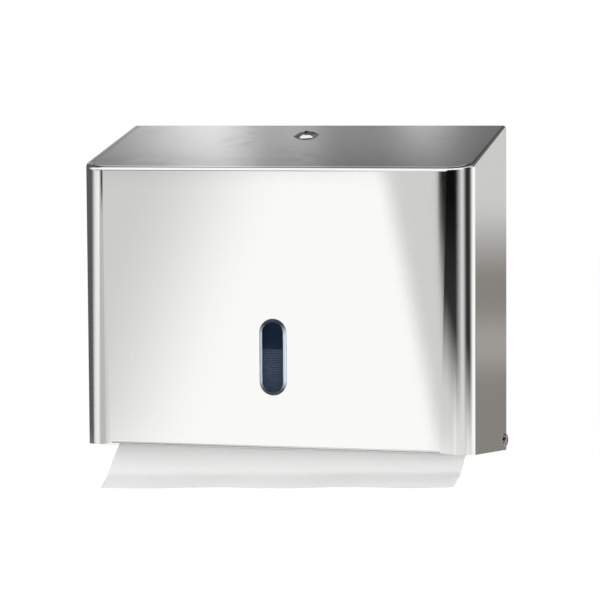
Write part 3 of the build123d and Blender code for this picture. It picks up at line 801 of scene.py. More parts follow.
def face_outwards(piece: bpy.types.Object) -> None:
    """Merges a closed piece's doubled points and turns its faces outwards."""
    form = bmesh.new()
    form.from_mesh(piece.data)
    bmesh.ops.remove_doubles(form, verts=form.verts, dist=0.001 * MILLIMETRE)
    bmesh.ops.recalc_face_normals(form, faces=form.faces)
    form.to_mesh(piece.data)
    form.free()


def freeze(piece: bpy.types.Object) -> None:
    """Makes what a piece's modifiers give its plain mesh, and removes them."""
    mesh = bpy.data.meshes.new_from_object(piece.evaluated_get(bpy.context.evaluated_depsgraph_get()))
    piece.modifiers.clear()
    piece.data = mesh


def smooth(piece: bpy.types.Object, limit: float = SHARP_ANGLE) -> None:
    """Shades a piece smoothly, apart from edges sharper than a limit.

    Args:
        piece: the piece to shade.
        limit: the angle in degrees from which an edge stays sharp.
    """
    piece.data.shade_smooth()
    piece.data.set_sharp_from_angle(angle=math.radians(limit))


def paint(piece: bpy.types.Object, *finishes: Finish) -> None:
    """Gives a piece its finishes, in place of any materials that it has.

    Args:
        piece: the piece to paint.
        *finishes: one finish for each of its material places.
    """
    piece.data.materials.clear()
    for finish in finishes:
        piece.data.materials.append(finish.material())


def fit(piece: bpy.types.Object, body: Body, slot: Slot, *nodes: str) -> None:
    """Puts a finished piece on its body and reports it.

    Args:
        piece: the finished piece.
        body: the body that it rides on.
        slot: the record's material slot; not used.
        *nodes: the CAD nodes that it replaces, if any.
    """
    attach(piece, body.value)
    if nodes:
        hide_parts(*nodes)
    log.info("%s rides on %s and replaces %s", piece.name, body.value, ", ".join(nodes) or "no node")


@dataclass(frozen=True)
class Lathe:
    """Turns a profile of radius and height about an axis."""

    axis: Matrix
    steps: int = 72

    def turn(self, name: str, profile: Sequence[Pair], closed: bool = False) -> bpy.types.Object:
        """Makes a turned piece.

        Args:
            name: the piece's name.
            profile: radius and height of each ring.
            closed: True for a ring, False if the profile starts and ends in a flat face.

        Returns:
            The turned piece.
        """
        angles = [math.tau * step / self.steps for step in range(self.steps)]
        rings = []
        for radius, height in profile:
            ring = [Vector((radius * math.cos(turn), radius * math.sin(turn), height)) for turn in angles]
            rings.append([self.axis @ point for point in ring])
        piece = add_piece(name, *skin_rings(rings, closed))
        face_outwards(piece)
        smooth(piece)
        return piece


def arc(centre: Pair, radius: float, start: float, end: float, steps: int) -> list[Pair]:
    """Gives points along an arc.

    Args:
        centre: the arc's centre.
        radius: its radius.
        start: the angle at its start, in degrees.
        end: the angle at its end, in degrees.
        steps: into how many steps it is split.

    Returns:
        The points, ends included.
    """
    angles = [math.radians(start + (end - start) * step / steps) for step in range(steps + 1)]
    return [(centre[0] + radius * math.cos(angle), centre[1] + radius * math.sin(angle)) for angle in angles]


def rectangle(width: float, length: float) -> list[Pair]:
    """Gives the corners of a rectangle about the origin.

    Args:
        width: its size along X.
        length: its size along Y.

    Returns:
        The corners, once round.
    """
    return [(width * x / 2, length * y / 2) for x, y in ((-1, -1), (1, -1), (1, 1), (-1, 1))]


def dome(radius: float, foot: float, rim: float, height: float, end: float, steps: int) -> list[Pair]:
    """Gives the profile of a rivet's domed head.

    Args:
        radius: the head's radius.
        foot: where the head starts along its axis.
        rim: how far its edge is straight.
        height: its whole height.
        end: the angle at which its flat top starts, in degrees.
        steps: into how many steps the dome is split.

    Returns:
        Radius and height of the points.
    """
    rise = height - rim
    return [(radius * across, foot + rim + rise * up) for across, up in arc((0.0, 0.0), 1.0, 0.0, end, steps)]


# Pieces of the dispenser


def dress_nodes(finish: Finish, *nodes: str) -> None:
    """Gives CAD nodes their finish and reports them.

    Args:
        finish: the finish.
        *nodes: names of the CAD nodes that stay as they are.
    """
    for name in nodes:
        paint(frame["nodes"][name], finish)
        log.info("%s keeps its CAD form, in %s", name, finish.name)


def shade_evenly(*nodes: str) -> None:
    """Gives CAD sheets normals that hold the flats flat, so that their mirror images stay true.

    Args:
        *nodes: the CAD nodes.
    """
    for node in nodes:
        sheet = frame["nodes"][node]
        sheet.modifiers.new("joined facets", "WELD").merge_threshold = 0.01 * MILLIMETRE
        sheet.modifiers.new("sharp edges", "EDGE_SPLIT").split_angle = math.radians(SHARP_ANGLE)
        sheet.modifiers.new("true flats", "WEIGHTED_NORMAL").mode = "FACE_AREA"


@dataclass(frozen=True)
class RivetGroup:
    """Rivets that face one way, one in each corner of their CAD node's box."""

    node: str
    facing: tuple[float, float, float]

    def places(self, radius: float) -> list[Vector]:
        """Gives the middle of each rivet's foot.

        Args:
            radius: the radius of a head.

        Returns:
            The places.
        """
        low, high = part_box(self.node)
        choices = []
        for axis in range(3):
            if self.facing[axis]:
                choices.append((high[axis],))
            elif high[axis] - low[axis] < 3 * radius:  # room for one head alone
                choices.append(((low[axis] + high[axis]) / 2,))
            else:
                choices.append((low[axis] + radius, high[axis] - radius))
        return [Vector(place) for place in itertools.product(*choices)]


@dataclass
class Chassis:
    """Back plate, magazine cheeks, ledges, strike and buffers, with the rivets that hold the sheets."""

    rivet_radius: float = 2.4 * MILLIMETRE
    rivet_height: float = 1.1 * MILLIMETRE
    rivet_rim: float = 0.25 * MILLIMETRE
    rivet_top: float = 80.0
    dome_steps: int = 8
    rivet_steps: int = 28
    seed: int = 5
    groups: tuple[RivetGroup, ...] = (
        RivetGroup("cheek_rivets", (0.0, -1.0, 0.0)),
        RivetGroup("strike_rivets", (0.0, -1.0, 0.0)),
        RivetGroup("ledge_rivets", (0.0, 0.0, -1.0)),
    )

    def build(self) -> None:
        """Builds the rivets and dresses the sheets."""
        dress_nodes(MILL_STEEL, "back_plate", "left_cheek", "right_cheek")
        dress_nodes(MILL_STEEL, "rear_ledge", "front_ledge", "strike_bracket")
        dress_nodes(BLACK_RUBBER, "rubber_buffers")
        self.build_rivets()

    def build_rivets(self) -> None:
        """Makes all the rivets as one piece."""
        lathe = Lathe(Matrix.Identity(4), self.rivet_steps)
        top = dome(self.rivet_radius, 0.0, self.rivet_rim, self.rivet_height, self.rivet_top, self.dome_steps)
        head = lathe.turn("rivet_head", [(self.rivet_radius, 0.0), *top])
        places = {group: group.places(self.rivet_radius) for group in self.groups}
        rivets = add_piece("rivets", [place for row in places.values() for place in row], [])
        facing = rivets.data.attributes.new("facing", "FLOAT_VECTOR", "POINT")
        directions = [group.facing for group, row in places.items() for _ in row]
        for entry, direction in zip(facing.data, directions):
            entry.vector = direction
        RivetPattern().apply(rivets, Head=head, Material=FASTENER_STEEL.material(), Seed=self.seed)
        bpy.data.objects.remove(head)
        fit(rivets, Body.CHASSIS, Slot.RIVET, *(group.node for group in self.groups))


@dataclass
class Hinge:
    """Riveted pins, nylon spacers and doubling plates."""

    shaft_radius: float = 2.5 * MILLIMETRE
    tail_radius: float = 3.8 * MILLIMETRE
    tail_height: float = 1.1 * MILLIMETRE
    tail_shares: tuple[Pair, ...] = ((0.7, 0.0), (0.93, 0.2), (1.0, 0.6), (1.0, 1.0))
    head_height: float = 2.0 * MILLIMETRE
    head_rim: float = 0.35 * MILLIMETRE
    head_top: float = 84.0
    dome_steps: int = 10
    pin_steps: int = 48

    def build(self) -> None:
        """Builds the pins and dresses the rest."""
        self.build_pin("left_hinge_pin", -1.0)
        self.build_pin("right_hinge_pin", 1.0)
        dress_nodes(FASTENER_STEEL, "left_hinge_doubler", "right_hinge_doubler")
        dress_nodes(WHITE_NYLON, "left_hinge_spacer", "right_hinge_spacer")

    def build_pin(self, node: str, side: float) -> None:
        """Turns a pin with a domed head outside and a clenched tail inside.

        Args:
            node: the CAD node that it replaces.
            side: 1 for the right pin and -1 for the left.
        """
        low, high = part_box(node)
        head_radius = (high[2] - low[2]) / 2
        length = high[0] - low[0]
        inner = low[0] if side > 0 else high[0]
        foot = Matrix.Translation((inner, (low[1] + high[1]) / 2, (low[2] + high[2]) / 2))
        base = length - self.head_height
        tail = [(self.tail_radius * across, self.tail_height * up) for across, up in self.tail_shares]
        shaft = [(self.shaft_radius, self.tail_height), (self.shaft_radius, base)]
        head = dome(head_radius, base, self.head_rim, self.head_height, self.head_top, self.dome_steps)
        lathe = Lathe(foot @ Matrix.Rotation(side * math.pi / 2, 4, "Y"), self.pin_steps)
        pin = lathe.turn(node.replace("hinge_pin", "pin"), [*tail, *shaft, (head_radius, base), *head])
        paint(pin, PIN_STEEL)
        fit(pin, Body.CHASSIS, Slot.RIVET, node)


@dataclass
class Cover:
    """Folded shell with its let-in top panel."""

    def build(self) -> None:
        """Dresses the cover."""
        dress_nodes(MIRROR_STEEL, "cover_shell")
        dress_nodes(SATIN_STEEL, "cover_top")
        shade_evenly("cover_shell", "cover_top")


@dataclass
class LevelWindow:
    """Smoked lens, pushed through the front from inside, and what holds it."""

    flange: float = 3.1 * MILLIMETRE
    flange_sheet: float = 1.0 * MILLIMETRE
    bevel: float = 2.1 * MILLIMETRE
    bevel_depth: float = 0.9 * MILLIMETRE
    bevel_start: float = 12.0
    bevel_steps: int = 6
    end_steps: int = 40

    def build(self) -> None:
        """Builds the lens and dresses its holders."""
        self.build_lens()
        dress_nodes(MILL_STEEL, "window_retainer")
        dress_nodes(FASTENER_STEEL, "window_studs", "push_nuts")

    def outline(self, radius: float, depth: float) -> list[Vector]:
        """Gives an upright outline with round ends.

        Args:
            radius: half its width.
            depth: the Y of its plane.

        Returns:
            Its points, once round.
        """
        low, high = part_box("window_lens")
        middle, height = (low[0] + high[0]) / 2, (low[2] + high[2]) / 2
        straight = ((high[2] - low[2]) - (high[0] - low[0])) / 2
        upper = arc((middle, height + straight), radius, 0.0, 180.0, self.end_steps)
        lower = arc((middle, height - straight), radius, 180.0, 360.0, self.end_steps)
        return [Vector((x, depth, z)) for x, z in (*upper, *lower)]

    def build_lens(self) -> None:
        """Lofts the lens from its flange to its bevelled face."""
        low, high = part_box("window_lens")
        widest, front, back = (high[0] - low[0]) / 2, low[1], high[1]
        body = widest - self.flange
        seat = back - self.flange_sheet
        edge = front + self.bevel_depth
        plain = [(widest, back), (widest, seat), (body, seat), (body, edge)]
        bevel = [
            (body - self.bevel * (1.0 - across), edge - self.bevel_depth * rise)
            for across, rise in arc((0.0, 0.0), 1.0, self.bevel_start, 90.0, self.bevel_steps)
        ]
        rings = [self.outline(radius, depth) for radius, depth in plain + bevel]
        lens = add_piece("level_lens", *skin_rings(rings, False))
        paint(lens, SMOKED_ACRYLIC, LENS_RIM)
        first, last = ((rows - 1) * len(rings[0]) for rows in (len(plain), len(rings)))
        for number, face in enumerate(lens.data.polygons):
            face.material_index = 1 if first <= number < last else 0
        face_outwards(lens)
        smooth(lens)
        fit(lens, Body.COVER, Slot.ACRYLIC, "window_lens")


@dataclass
class Lock:
    """Key lock in the top panel, with heights along its axis from the panel's outer face."""

    head_radius: float = 9.2 * MILLIMETRE
    crown_height: float = 2.85 * MILLIMETRE
    crown_radius: float = 16.5 * MILLIMETRE
    crown_steps: int = 8
    cap_steps: int = 12
    pole: float = 0.01 * MILLIMETRE
    cap_wall: float = 6.45 * MILLIMETRE
    cap_radius: float = 6.35 * MILLIMETRE
    cap_floor: float = 0.7 * MILLIMETRE
    plug_top: float = 1.4 * MILLIMETRE
    keyway_width: float = 1.6 * MILLIMETRE
    keyway_length: float = 7.0 * MILLIMETRE
    bore: float = 5.55 * MILLIMETRE
    barrel_radius: float = 7.9 * MILLIMETRE
    barrel_length: float = 21.0 * MILLIMETRE
    thread_start: float = 5.2 * MILLIMETRE
    thread_pitch: float = 1.0 * MILLIMETRE
    thread_depth: float = 0.45 * MILLIMETRE

    def build(self) -> None:
        """Builds the barrel and the plug's face, and dresses the rest."""
        self.build_barrel()
        self.build_face()
        dress_nodes(BRIGHT_CHROME, "lock_plug")
        dress_nodes(FASTENER_STEEL, "lock_nut", "lock_cam", "cam_screw")

    def axis(self) -> Matrix:
        """Gives the lock's own frame, with its axis out of the panel.

        Returns:
            The frame as a matrix.
        """
        joint = next(joint for joint in frame["joints"] if joint["name"] == "lock_turn")
        outwards = -Vector(joint["axis"]).normalized()
        return Matrix.Translation(joint["pos_m"]) @ outwards.to_track_quat("Z", "Y").to_matrix().to_4x4()

    def crown(self, start: float, end: float, steps: int) -> list[Pair]:
        """Gives points on the dome that barrel and plug share.

        Args:
            start: the first point's radius.
            end: the last point's radius.
            steps: into how many steps it is split.

        Returns:
            Radius and height of the points, ends included.
        """
        radii = [start + (end - start) * step / steps for step in range(steps + 1)]
        foot = self.crown_height - self.crown_radius
        return [(radius, foot + math.sqrt(self.crown_radius**2 - radius**2)) for radius in radii]

    def build_face(self) -> None:
        """Turns the plug's domed face and cuts the keyway through it."""
        foot = [(self.pole, self.plug_top), (self.cap_radius, self.plug_top)]
        profile = [*foot, *self.crown(self.cap_radius, self.pole, self.cap_steps)]
        face = Lathe(self.axis()).turn("plug_face", profile)
        corners = rectangle(self.keyway_width, self.keyway_length)
        rings = [[self.axis() @ Vector((x, y, z)) for x, y in corners] for z in (0.0, 2 * self.crown_height)]
        key = add_piece("key", *skin_rings(rings, False))
        face_outwards(key)
        cut = face.modifiers.new("keyway", "BOOLEAN")
        cut.operation, cut.solver, cut.object = "DIFFERENCE", "EXACT", key
        freeze(face)
        bpy.data.objects.remove(key)
        smooth(face)
        paint(face, BRIGHT_CHROME)
        fit(face, Body.LOCK, Slot.CHROME)

    def build_barrel(self) -> None:
        """Turns the barrel, from its domed head to the end of its thread."""
        crown = self.crown(self.cap_wall, self.head_radius, self.crown_steps)
        turns = round((self.barrel_length - self.thread_start) / self.thread_pitch)
        thread = []
        for step in range(turns):
            top = -self.thread_start - step * self.thread_pitch
            thread.append((self.barrel_radius, top))
            thread.append((self.barrel_radius - self.thread_depth, top - self.thread_pitch / 2))
        inside = [(self.bore, -self.barrel_length), (self.bore, self.cap_floor)]
        seat = [(self.cap_wall, self.cap_floor)]
        foot = [(self.barrel_radius - self.thread_depth, -self.barrel_length)]
        outside = [*crown, (self.head_radius, 0.0), (self.barrel_radius, 0.0), *thread, *foot]
        barrel = Lathe(self.axis()).turn("barrel", [*outside, *inside, *seat], closed=True)
        paint(barrel, BRIGHT_CHROME)
        fit(barrel, Body.COVER, Slot.CHROME, "lock_barrel")


@dataclass(frozen=True)
class LeafEdge:
    """One side edge of the hanging towel, as depth and height of the points that shape it."""

    bend: Pair
    bend_pull: Pair
    crease_pull: Pair
    crease: Pair
    end: Pair


@dataclass
class Towels:
    """Folded stack, and the next towel's panel lying on the rear ledge and hanging out of the slot."""

    width: float = 250.0 * MILLIMETRE
    panel: float = 115.0 * MILLIMETRE
    leaf: float = 0.25 * MILLIMETRE
    left: LeafEdge = LeafEdge(
        bend=(-0.0540, -0.0953),
        bend_pull=(-0.0680, -0.1004),
        crease_pull=(-0.0925, -0.1136),
        crease=(-0.1055, -0.12665),
        end=(-0.1222, -0.13365),
    )
    right: LeafEdge = LeafEdge(
        bend=(-0.0540, -0.0953),
        bend_pull=(-0.0680, -0.1002),
        crease_pull=(-0.0868, -0.1109),
        crease=(-0.0985, -0.1186),
        end=(-0.1205, -0.12515),
    )
    across_steps: int = 64
    lying_steps: int = 12
    bend_steps: int = 36
    tip_steps: int = 14
    leaf_limit: float = 60.0
    ripple: float = 0.35 * MILLIMETRE
    ripple_start: float = 0.45
    ripple_waves: float = 5.3
    ripple_skew: float = 2.6
    crease_reach: int = 4
    crease_passes: int = 3
    towels: int = 100
    stray: tuple[float, float, float] = (0.8 * MILLIMETRE, 0.1 * MILLIMETRE, 0.0)
    ply: float = 0.78
    nose: float = 0.15
    outer_steps: int = 6
    inner_steps: int = 4
    fold_shares: tuple[float, ...] = (-0.5, -0.25, 0.0, 0.25, 0.5)
    fold_limit: float = 50.0
    seed: int = 11

    def build(self) -> None:
        """Builds the stack and the next towel."""
        self.build_stack()
        self.build_hanging()

    def build_stack(self) -> None:
        """Piles up folded towels in place of the CAD block."""
        low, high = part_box("towel_stack")
        rise = (high[2] - low[2]) / self.towels
        towel = self.build_folded(high[1] - low[1], rise)
        stack = add_piece("folded_towels", [], [])
        middle = (Vector(low) + Vector(high)) / 2
        StackPattern().apply(
            stack,
            Towel=towel,
            Material=TOWEL_PAPER.material(),
            Count=self.towels,
            Rise=(0.0, 0.0, rise),
            Stray=self.stray,
            Seed=self.seed,
        )
        stack.data.transform(Matrix.Translation((middle.x, middle.y, low[2])))
        bpy.data.objects.remove(towel)
        fit(stack, Body.CHASSIS, Slot.PAPER, "towel_stack")

    def build_folded(self, depth: float, rise: float) -> bpy.types.Object:
        """Makes one folded towel about the origin, with its fold in front.

        Args:
            depth: from the fold to the loose edges.
            rise: its thickness.

        Returns:
            The towel.
        """
        outer = rise / 2
        inner = outer * (1.0 - self.ply)
        nose = -depth / 2 + outer * self.nose
        outer_bend = arc((0.0, outer), outer, 270.0, 90.0, self.outer_steps)
        inner_bend = arc((0.0, outer), inner, 90.0, 270.0, self.inner_steps)
        outside, inside = ([(nose + self.nose * y, z) for y, z in bend] for bend in (outer_bend, inner_bend))
        rear = depth / 2
        profile = [(rear, 0.0), *outside, (rear, rise), (rear, outer + inner), *inside, (rear, outer - inner)]
        rings = [[Vector((self.width * share, y, z)) for y, z in profile] for share in self.fold_shares]
        towel = add_piece("folded_towel", *skin_rings(rings, False))
        face_outwards(towel)
        smooth(towel, self.fold_limit)
        return towel

    def edge_points(self, edge: LeafEdge) -> list[Vector]:
        """Gives points along a side edge, from the hidden end to the free end.

        Args:
            edge: the edge.

        Returns:
            Its points as depth and height.
        """
        bend, pull, push, crease, end = (
            Vector(point) for point in (edge.bend, edge.bend_pull, edge.crease_pull, edge.crease, edge.end)
        )
        hanging = []
        for step in range(self.bend_steps + 1):
            share = step / self.bend_steps
            rest = 1.0 - share
            hanging.append(
                bend * rest**3 + pull * 3 * share * rest**2 + push * 3 * share**2 * rest + crease * share**3
            )
        hanging += [crease.lerp(end, step / self.tip_steps) for step in range(1, self.tip_steps + 1)]
        for _ in range(self.crease_passes):
            for step in range(self.bend_steps - self.crease_reach, self.bend_steps + self.crease_reach + 1):
                hanging[step] = (hanging[step - 1] + 2 * hanging[step] + hanging[step + 1]) / 4
        shown = sum((after - before).length for before, after in zip(hanging, hanging[1:]))
        hidden = self.panel - shown
        lying = [bend + Vector((hidden * (1.0 - step / self.lying_steps), 0.0)) for step in range(self.lying_steps)]
        return lying + hanging

    def build_hanging(self) -> None:
        """Makes the towel's panel as one thin sheet between its two side edges."""
        left, right = self.edge_points(self.left), self.edge_points(self.right)
        rows = len(left)
        points = []
        for column in range(self.across_steps + 1):
            share = column / self.across_steps
            for row in range(rows):
                place = left[row].lerp(right[row], share)
                loose = max(0.0, (row / (rows - 1) - self.ripple_start) / (1.0 - self.ripple_start))
                phase = self.ripple_waves * math.pi * share + self.ripple_skew * row / rows
                wave = self.ripple * loose**2 * math.sin(phase)
                points.append(Vector((self.width * (share - 0.5), place.x, place.y + wave)))
        towel = add_piece("next_towel", points, grid_faces(self.across_steps + 1, rows))
        smooth(towel, self.leaf_limit)
        sides = Counter(key for face in towel.data.polygons for key in face.edge_keys)
        for edge in towel.data.edges:
            edge.use_edge_sharp = edge.use_edge_sharp or sides[edge.key] == 1
        wall = towel.modifiers.new("thickness", "SOLIDIFY")
        wall.thickness = self.leaf
        wall.offset = 0.0
        paint(towel, TOWEL_PAPER)
        fit(towel, Body.CHASSIS, Slot.PAPER, "hanging_towel")


# Studio


class Edge(NamedTuple):
    """An edge of a flag, in degrees.

    The edge fades inwards. Its lean is how far it shifts for each degree along it, counted from the horizon on an
    upright edge and from the left edge's place on a level one.
    """

    place: float
    fade: float
    lean: float = 0.0


@dataclass(frozen=True)
class Flag:
    """A card beside the set that shows in the steel alone, placed by angles seen from the part.

    The left and right edges are azimuths from the front towards the right, and the low and high edges are heights
    above the horizon.
    """

    name: str
    tone: Colour
    left: Edge
    right: Edge
    low: Edge
    high: Edge
    distance: float = 3.0


@dataclass(frozen=True)
class Lamp:
    """A square soft lamp that faces the part."""

    name: str
    place: tuple[float, float, float]
    size: float
    power: float


def heading(azimuth: float, elevation: float) -> Vector:
    """Gives a direction from the part.

    Args:
        azimuth: the angle from the front towards the right, in degrees.
        elevation: the angle above the horizon, in degrees.

    Returns:
        A vector of length 1.
    """
    side, rise = math.radians(azimuth), math.radians(elevation)
    return Vector((math.sin(side) * math.cos(rise), -math.cos(side) * math.cos(rise), math.sin(rise)))


@dataclass
class Studio:
    """Pale floor, soft light, flags for the steel, and the camera."""

    floor_drop: float = 0.8
    floor_size: float = 24.0
    floor_tone: float = 0.8
    floor_glow: float = 0.505
    ambient: float = 0.62
    azimuth: float = 15.394
    elevation: float = 4.7665
    roll: float = -0.3626
    distance: float = 2.0
    aim: Vector = Vector((0.003006, -0.063, -0.005496))
    lens: float = 172.2
    sensor: float = 36.0
    lamps: tuple[Lamp, ...] = (
        Lamp("key", place=(0.3, -1.6, 1.5), size=1.4, power=3.0),
        Lamp("front", place=(1.2, -1.4, -0.06), size=0.9, power=45.0),
    )
    flag_step: float = 0.02
    flag_columns: int = 64
    flag_rows: int = 32
    flag_spare: float = 2.0
    flags: tuple[Flag, ...] = (
        Flag("left pale", (0.86, 0.86, 0.85), Edge(-82.0, 8.0), Edge(-44.0, 6.0), Edge(-14.0, 4.0), Edge(30.0, 5.0)),
        Flag("corner pale", (0.76, 0.76, 0.75), Edge(24.0, 10.0), Edge(84.0, 10.0), Edge(-14.0, 4.0), Edge(30.0, 5.0)),
        Flag(
            "left grey", (0.63, 0.64, 0.63), Edge(-44.0, 10.0, 1.3), Edge(-14.4, 5.4, 0.34),
            Edge(-12.6, 5.0), Edge(12.0, 5.0),
        ),
        Flag("left band", (0.5, 0.5, 0.49), Edge(-39.5, 6.0, 1.2), Edge(-21.2, 3.0), Edge(-14.0, 4.0), Edge(12.0, 5.0)),
        Flag("left line", grey(0.05), Edge(-33.5, 2.0), Edge(-22.0, 1.0), Edge(-1.9, 1.3), Edge(14.0, 3.0)),
        Flag("top shade", grey(0.2), Edge(-60.0, 4.0), Edge(-9.0, 0.3), Edge(-1.0, 3.0), Edge(20.0, 5.0)),
        Flag(
            "right grey", (0.645, 0.645, 0.635), Edge(-12.1, 0.9, -0.2), Edge(-9.4, 0.2),
            Edge(-11.0, 3.0), Edge(30.0, 5.0),
        ),
        Flag("low grey", (0.645, 0.645, 0.635), Edge(-10.2, 1.0), Edge(40.0, 30.0), Edge(-11.2, 3.2), Edge(30.0, 5.0)),
        Flag(
            "front dark", grey(0.03), Edge(-9.79, 0.22, -0.0115), Edge(66.0, 38.0),
            Edge(-7.9, 3.86, -0.03), Edge(60.0, 10.0),
        ),
        Flag("front black", grey(0.004), Edge(-9.785, 0.07), Edge(40.0, 18.0), Edge(-5.2, 4.5), Edge(60.0, 10.0)),
        Flag("right black", grey(0.03), Edge(56.0, 26.0), Edge(122.0, 26.0), Edge(-9.9, 5.2, -0.03), Edge(60.0, 10.0)),
        Flag("rear wall", (0.61, 0.61, 0.59), Edge(136.0, 10.0), Edge(178.0, 8.0), Edge(-4.6, 2.0), Edge(14.0, 6.0)),
        Flag("rear floor", (0.24, 0.225, 0.21), Edge(136.0, 10.0), Edge(182.0, 8.0), Edge(-16.0, 2.0), Edge(-1.3, 2.9)),
        Flag("rear glow", (0.36, 0.345, 0.33), Edge(136.0, 10.0), Edge(182.0, 8.0), Edge(-7.9, 1.4), Edge(-4.9, 1.4)),
        Flag("right sky", grey(0.18), Edge(118.0, 10.0), Edge(179.0, 2.0), Edge(16.0, 4.0), Edge(75.0, 6.0)),
        Flag("left rear", grey(0.13), Edge(-180.0, 3.0), Edge(-142.0, 8.0), Edge(-14.0, 4.0), Edge(22.0, 6.0)),
        Flag("left black", grey(0.1), Edge(-151.0, 10.0), Edge(-75.0, 30.0), Edge(-14.0, 3.0), Edge(66.0, 8.0)),
        Flag("left dark", grey(0.1), Edge(-120.0, 10.0), Edge(-52.4, 30.0, 2.0), Edge(-14.0, 3.0), Edge(3.0, 3.0)),
        Flag("sky deep", grey(0.22), Edge(-184.0, 4.0), Edge(-146.0, 6.0), Edge(20.0, 4.0), Edge(72.0, 8.0)),
        Flag("sky grey", grey(0.34), Edge(-170.5, 2.5), Edge(-146.0, 6.0), Edge(20.0, 4.0), Edge(72.0, 8.0)),
        Flag("sky gleam", grey(0.56), Edge(-164.0, 1.2), Edge(-161.0, 1.2), Edge(20.0, 4.0), Edge(72.0, 8.0)),
        Flag("sky bright", grey(1.1), Edge(-162.3, 3.4), Edge(-154.0, 6.2), Edge(20.0, 4.0), Edge(72.0, 8.0)),
        Flag("sky glow", grey(0.76), Edge(-169.6, 2.0), Edge(-165.8, 1.8), Edge(20.0, 4.0), Edge(29.4, 2.2)),
        Flag("sky shade", grey(0.02), Edge(-188.0, 4.0), Edge(-144.0, 4.0), Edge(29.8, 2.2, -0.063), Edge(72.0, 6.0)),
        Flag("sky lid", grey(0.1), Edge(-188.0, 4.0), Edge(-144.0, 4.0), Edge(38.0, 5.0), Edge(72.0, 6.0)),
        Flag("right floor", (0.7, 0.7, 0.69), Edge(60.0, 20.0), Edge(132.0, 10.0), Edge(-16.0, 0.5), Edge(-9.0, 3.0)),
        Flag("left floor", (0.7, 0.7, 0.69), Edge(-138.0, 10.0), Edge(-60.0, 20.0), Edge(-16.0, 0.5), Edge(-9.0, 3.0)),
        Flag(
            "low shade", (0.6, 0.6, 0.59), Edge(-181.0, 1.0), Edge(181.0, 1.0),
            Edge(-60.0, 5.0), Edge(-22.0, 8.0), distance=1.0,
        ),
    )

    def build(self) -> None:
        """Sets up the whole studio."""
        bpy.context.scene.view_settings.view_transform = "Standard"
        self.make_world()
        self.make_floor()
        self.make_lamps()
        for order, flag in enumerate(self.flags):
            self.make_flag(flag, flag.distance - order * self.flag_step)
        self.make_camera()

    def seen(self, graph: Graph) -> Socket:
        """Gives a socket that is 1 for what the camera, the metal and the glass see.

        Args:
            graph: the tree of the world or of a stage material.

        Returns:
            The socket.
        """
        path = graph.node("ShaderNodeLightPath").outputs
        mirrored = graph.math("MAXIMUM", path["Is Glossy Ray"], path["Is Transmission Ray"])
        return graph.math("MAXIMUM", path["Is Camera Ray"], mirrored)

    def make_world(self) -> None:
        """Makes a world that looks white and lights the part softly."""
        world = bpy.data.worlds.new("studio")
        world.use_nodes = True
        graph = Graph(world.node_tree)
        level = graph.remap(self.seen(graph), 0.0, 1.0, self.ambient, 1.0)
        graph.feed(world.node_tree.nodes["Background"], {"Color": (*grey(1.0), 1.0), "Strength": level})
        bpy.context.scene.world = world

    def make_floor(self) -> None:
        """Makes a pale floor that looks white away from the part's shadow."""
        corners = rectangle(self.floor_size, self.floor_size)
        floor = add_piece("floor", [Vector((x, y, -self.floor_drop)) for x, y in corners], [(0, 1, 2, 3)])
        material, graph, shader = new_material("pale floor")
        feeds = {
            "Base Color": (*grey(self.floor_tone), 1.0),
            "Roughness": 1.0,
            "Specular IOR Level": 0.0,
            "Emission Color": (*grey(1.0), 1.0),
            "Emission Strength": graph.product(self.seen(graph), self.floor_glow),
        }
        graph.feed(shader, feeds)
        floor.data.materials.append(material)

    def make_lamps(self) -> None:
        """Hangs a faint wide lamp above the front and a stronger one level with the part at the right."""
        for lamp in self.lamps:
            light = bpy.data.lights.new(lamp.name, "AREA")
            light.size = lamp.size
            light.energy = lamp.power
            holder = bpy.data.objects.new(lamp.name, light)
            holder.location = lamp.place
            holder.rotation_euler = (self.aim - holder.location).to_track_quat("-Z", "Y").to_euler()
            holder.visible_glossy = False
            bpy.context.collection.objects.link(holder)

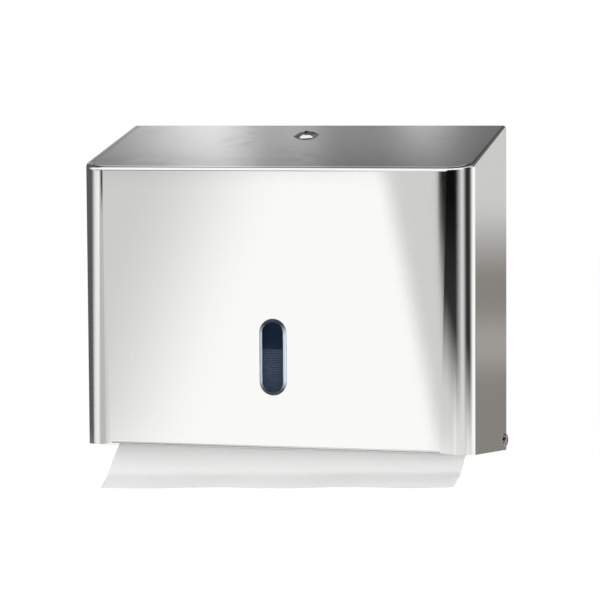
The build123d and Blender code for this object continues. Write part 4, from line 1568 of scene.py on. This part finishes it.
    def make_flag(self, flag: Flag, distance: float) -> None:
        """Hangs a flag.

        Args:
            flag: what to hang, and where.
            distance: how far from the part it hangs.
        """
        columns, rows = self.flag_columns, self.flag_rows
        points, angles = [], []
        low = flag.low.place + min(0.0, flag.low.lean * (flag.right.place - flag.left.place))
        high = flag.high.place
        first = flag.left.place - self.flag_spare + min(flag.left.lean * low, flag.left.lean * high)
        last = flag.right.place + self.flag_spare + max(flag.right.lean * low, flag.right.lean * high)
        for row in range(rows + 1):
            height = low + (high - low) * row / rows
            for column in range(columns + 1):
                turn = first + (last - first) * column / columns
                points.append(distance * heading(turn, height))
                angles.append((turn, height))
        card = add_piece(flag.name.replace(" ", "_"), points, grid_faces(rows + 1, columns + 1))
        chart = card.data.uv_layers.new(name="angles")
        for loop in card.data.loops:
            chart.data[loop.index].uv = angles[loop.vertex_index]
        card.data.materials.append(self.flag_material(flag))
        for rays in ("camera", "diffuse", "shadow", "transmission"):
            setattr(card, f"visible_{rays}", False)

    def flag_material(self, flag: Flag) -> bpy.types.Material:
        """Makes a flag's material, plain inside and clear past its edges.

        Args:
            flag: the flag.

        Returns:
            The material.
        """
        material, graph, _ = new_material(flag.name)
        material.node_tree.nodes.clear()
        turn, height, _ = graph.split(graph.node("ShaderNodeTexCoord").outputs["UV"])
        past_left = graph.math("SUBTRACT", turn, flag.left.place)
        shares = []
        for edge, across, along, inwards in (
            (flag.left, turn, height, 1.0),
            (flag.right, turn, height, -1.0),
            (flag.low, height, past_left, 1.0),
            (flag.high, height, past_left, -1.0),
        ):
            straight = graph.math("SUBTRACT", across, graph.product(along, edge.lean))
            shares.append(graph.remap(straight, edge.place, edge.place + inwards * edge.fade))
        clear = graph.node("ShaderNodeBsdfTransparent").outputs[0]
        glow = graph.node("ShaderNodeEmission", {"Color": (*flag.tone, 1.0)}).outputs[0]
        mixed = graph.node("ShaderNodeMixShader", {0: graph.product(*shares), 1: clear, 2: glow})
        graph.node("ShaderNodeOutputMaterial", {"Surface": mixed.outputs[0]})
        return material

    def make_camera(self) -> None:
        """Sets the camera where the photograph was taken from."""
        back = heading(self.azimuth, self.elevation)
        level = heading(self.azimuth + 90.0, 0.0)
        upright = back.cross(level)
        turn = math.radians(self.roll)
        right = level * math.cos(turn) + upright * math.sin(turn)
        up = upright * math.cos(turn) - level * math.sin(turn)
        data = bpy.data.cameras.new("camera")
        data.lens = self.lens
        data.sensor_width = self.sensor
        camera = bpy.data.objects.new("camera", data)
        axes = Matrix((right, up, back)).transposed().to_4x4()
        camera.matrix_world = Matrix.Translation(self.aim + back * self.distance) @ axes
        bpy.context.collection.objects.link(camera)
        bpy.context.scene.camera = camera


def main() -> None:
    """Builds the dispenser and its studio."""
    logging.basicConfig(level=logging.INFO, format="%(name)s: %(message)s")
    for assembly in (Chassis(), Hinge(), Cover(), LevelWindow(), Lock(), Towels(), Studio()):
        assembly.build()
        log.info("%s is complete", type(assembly).__name__)


if __name__ == "__main__":
    main()
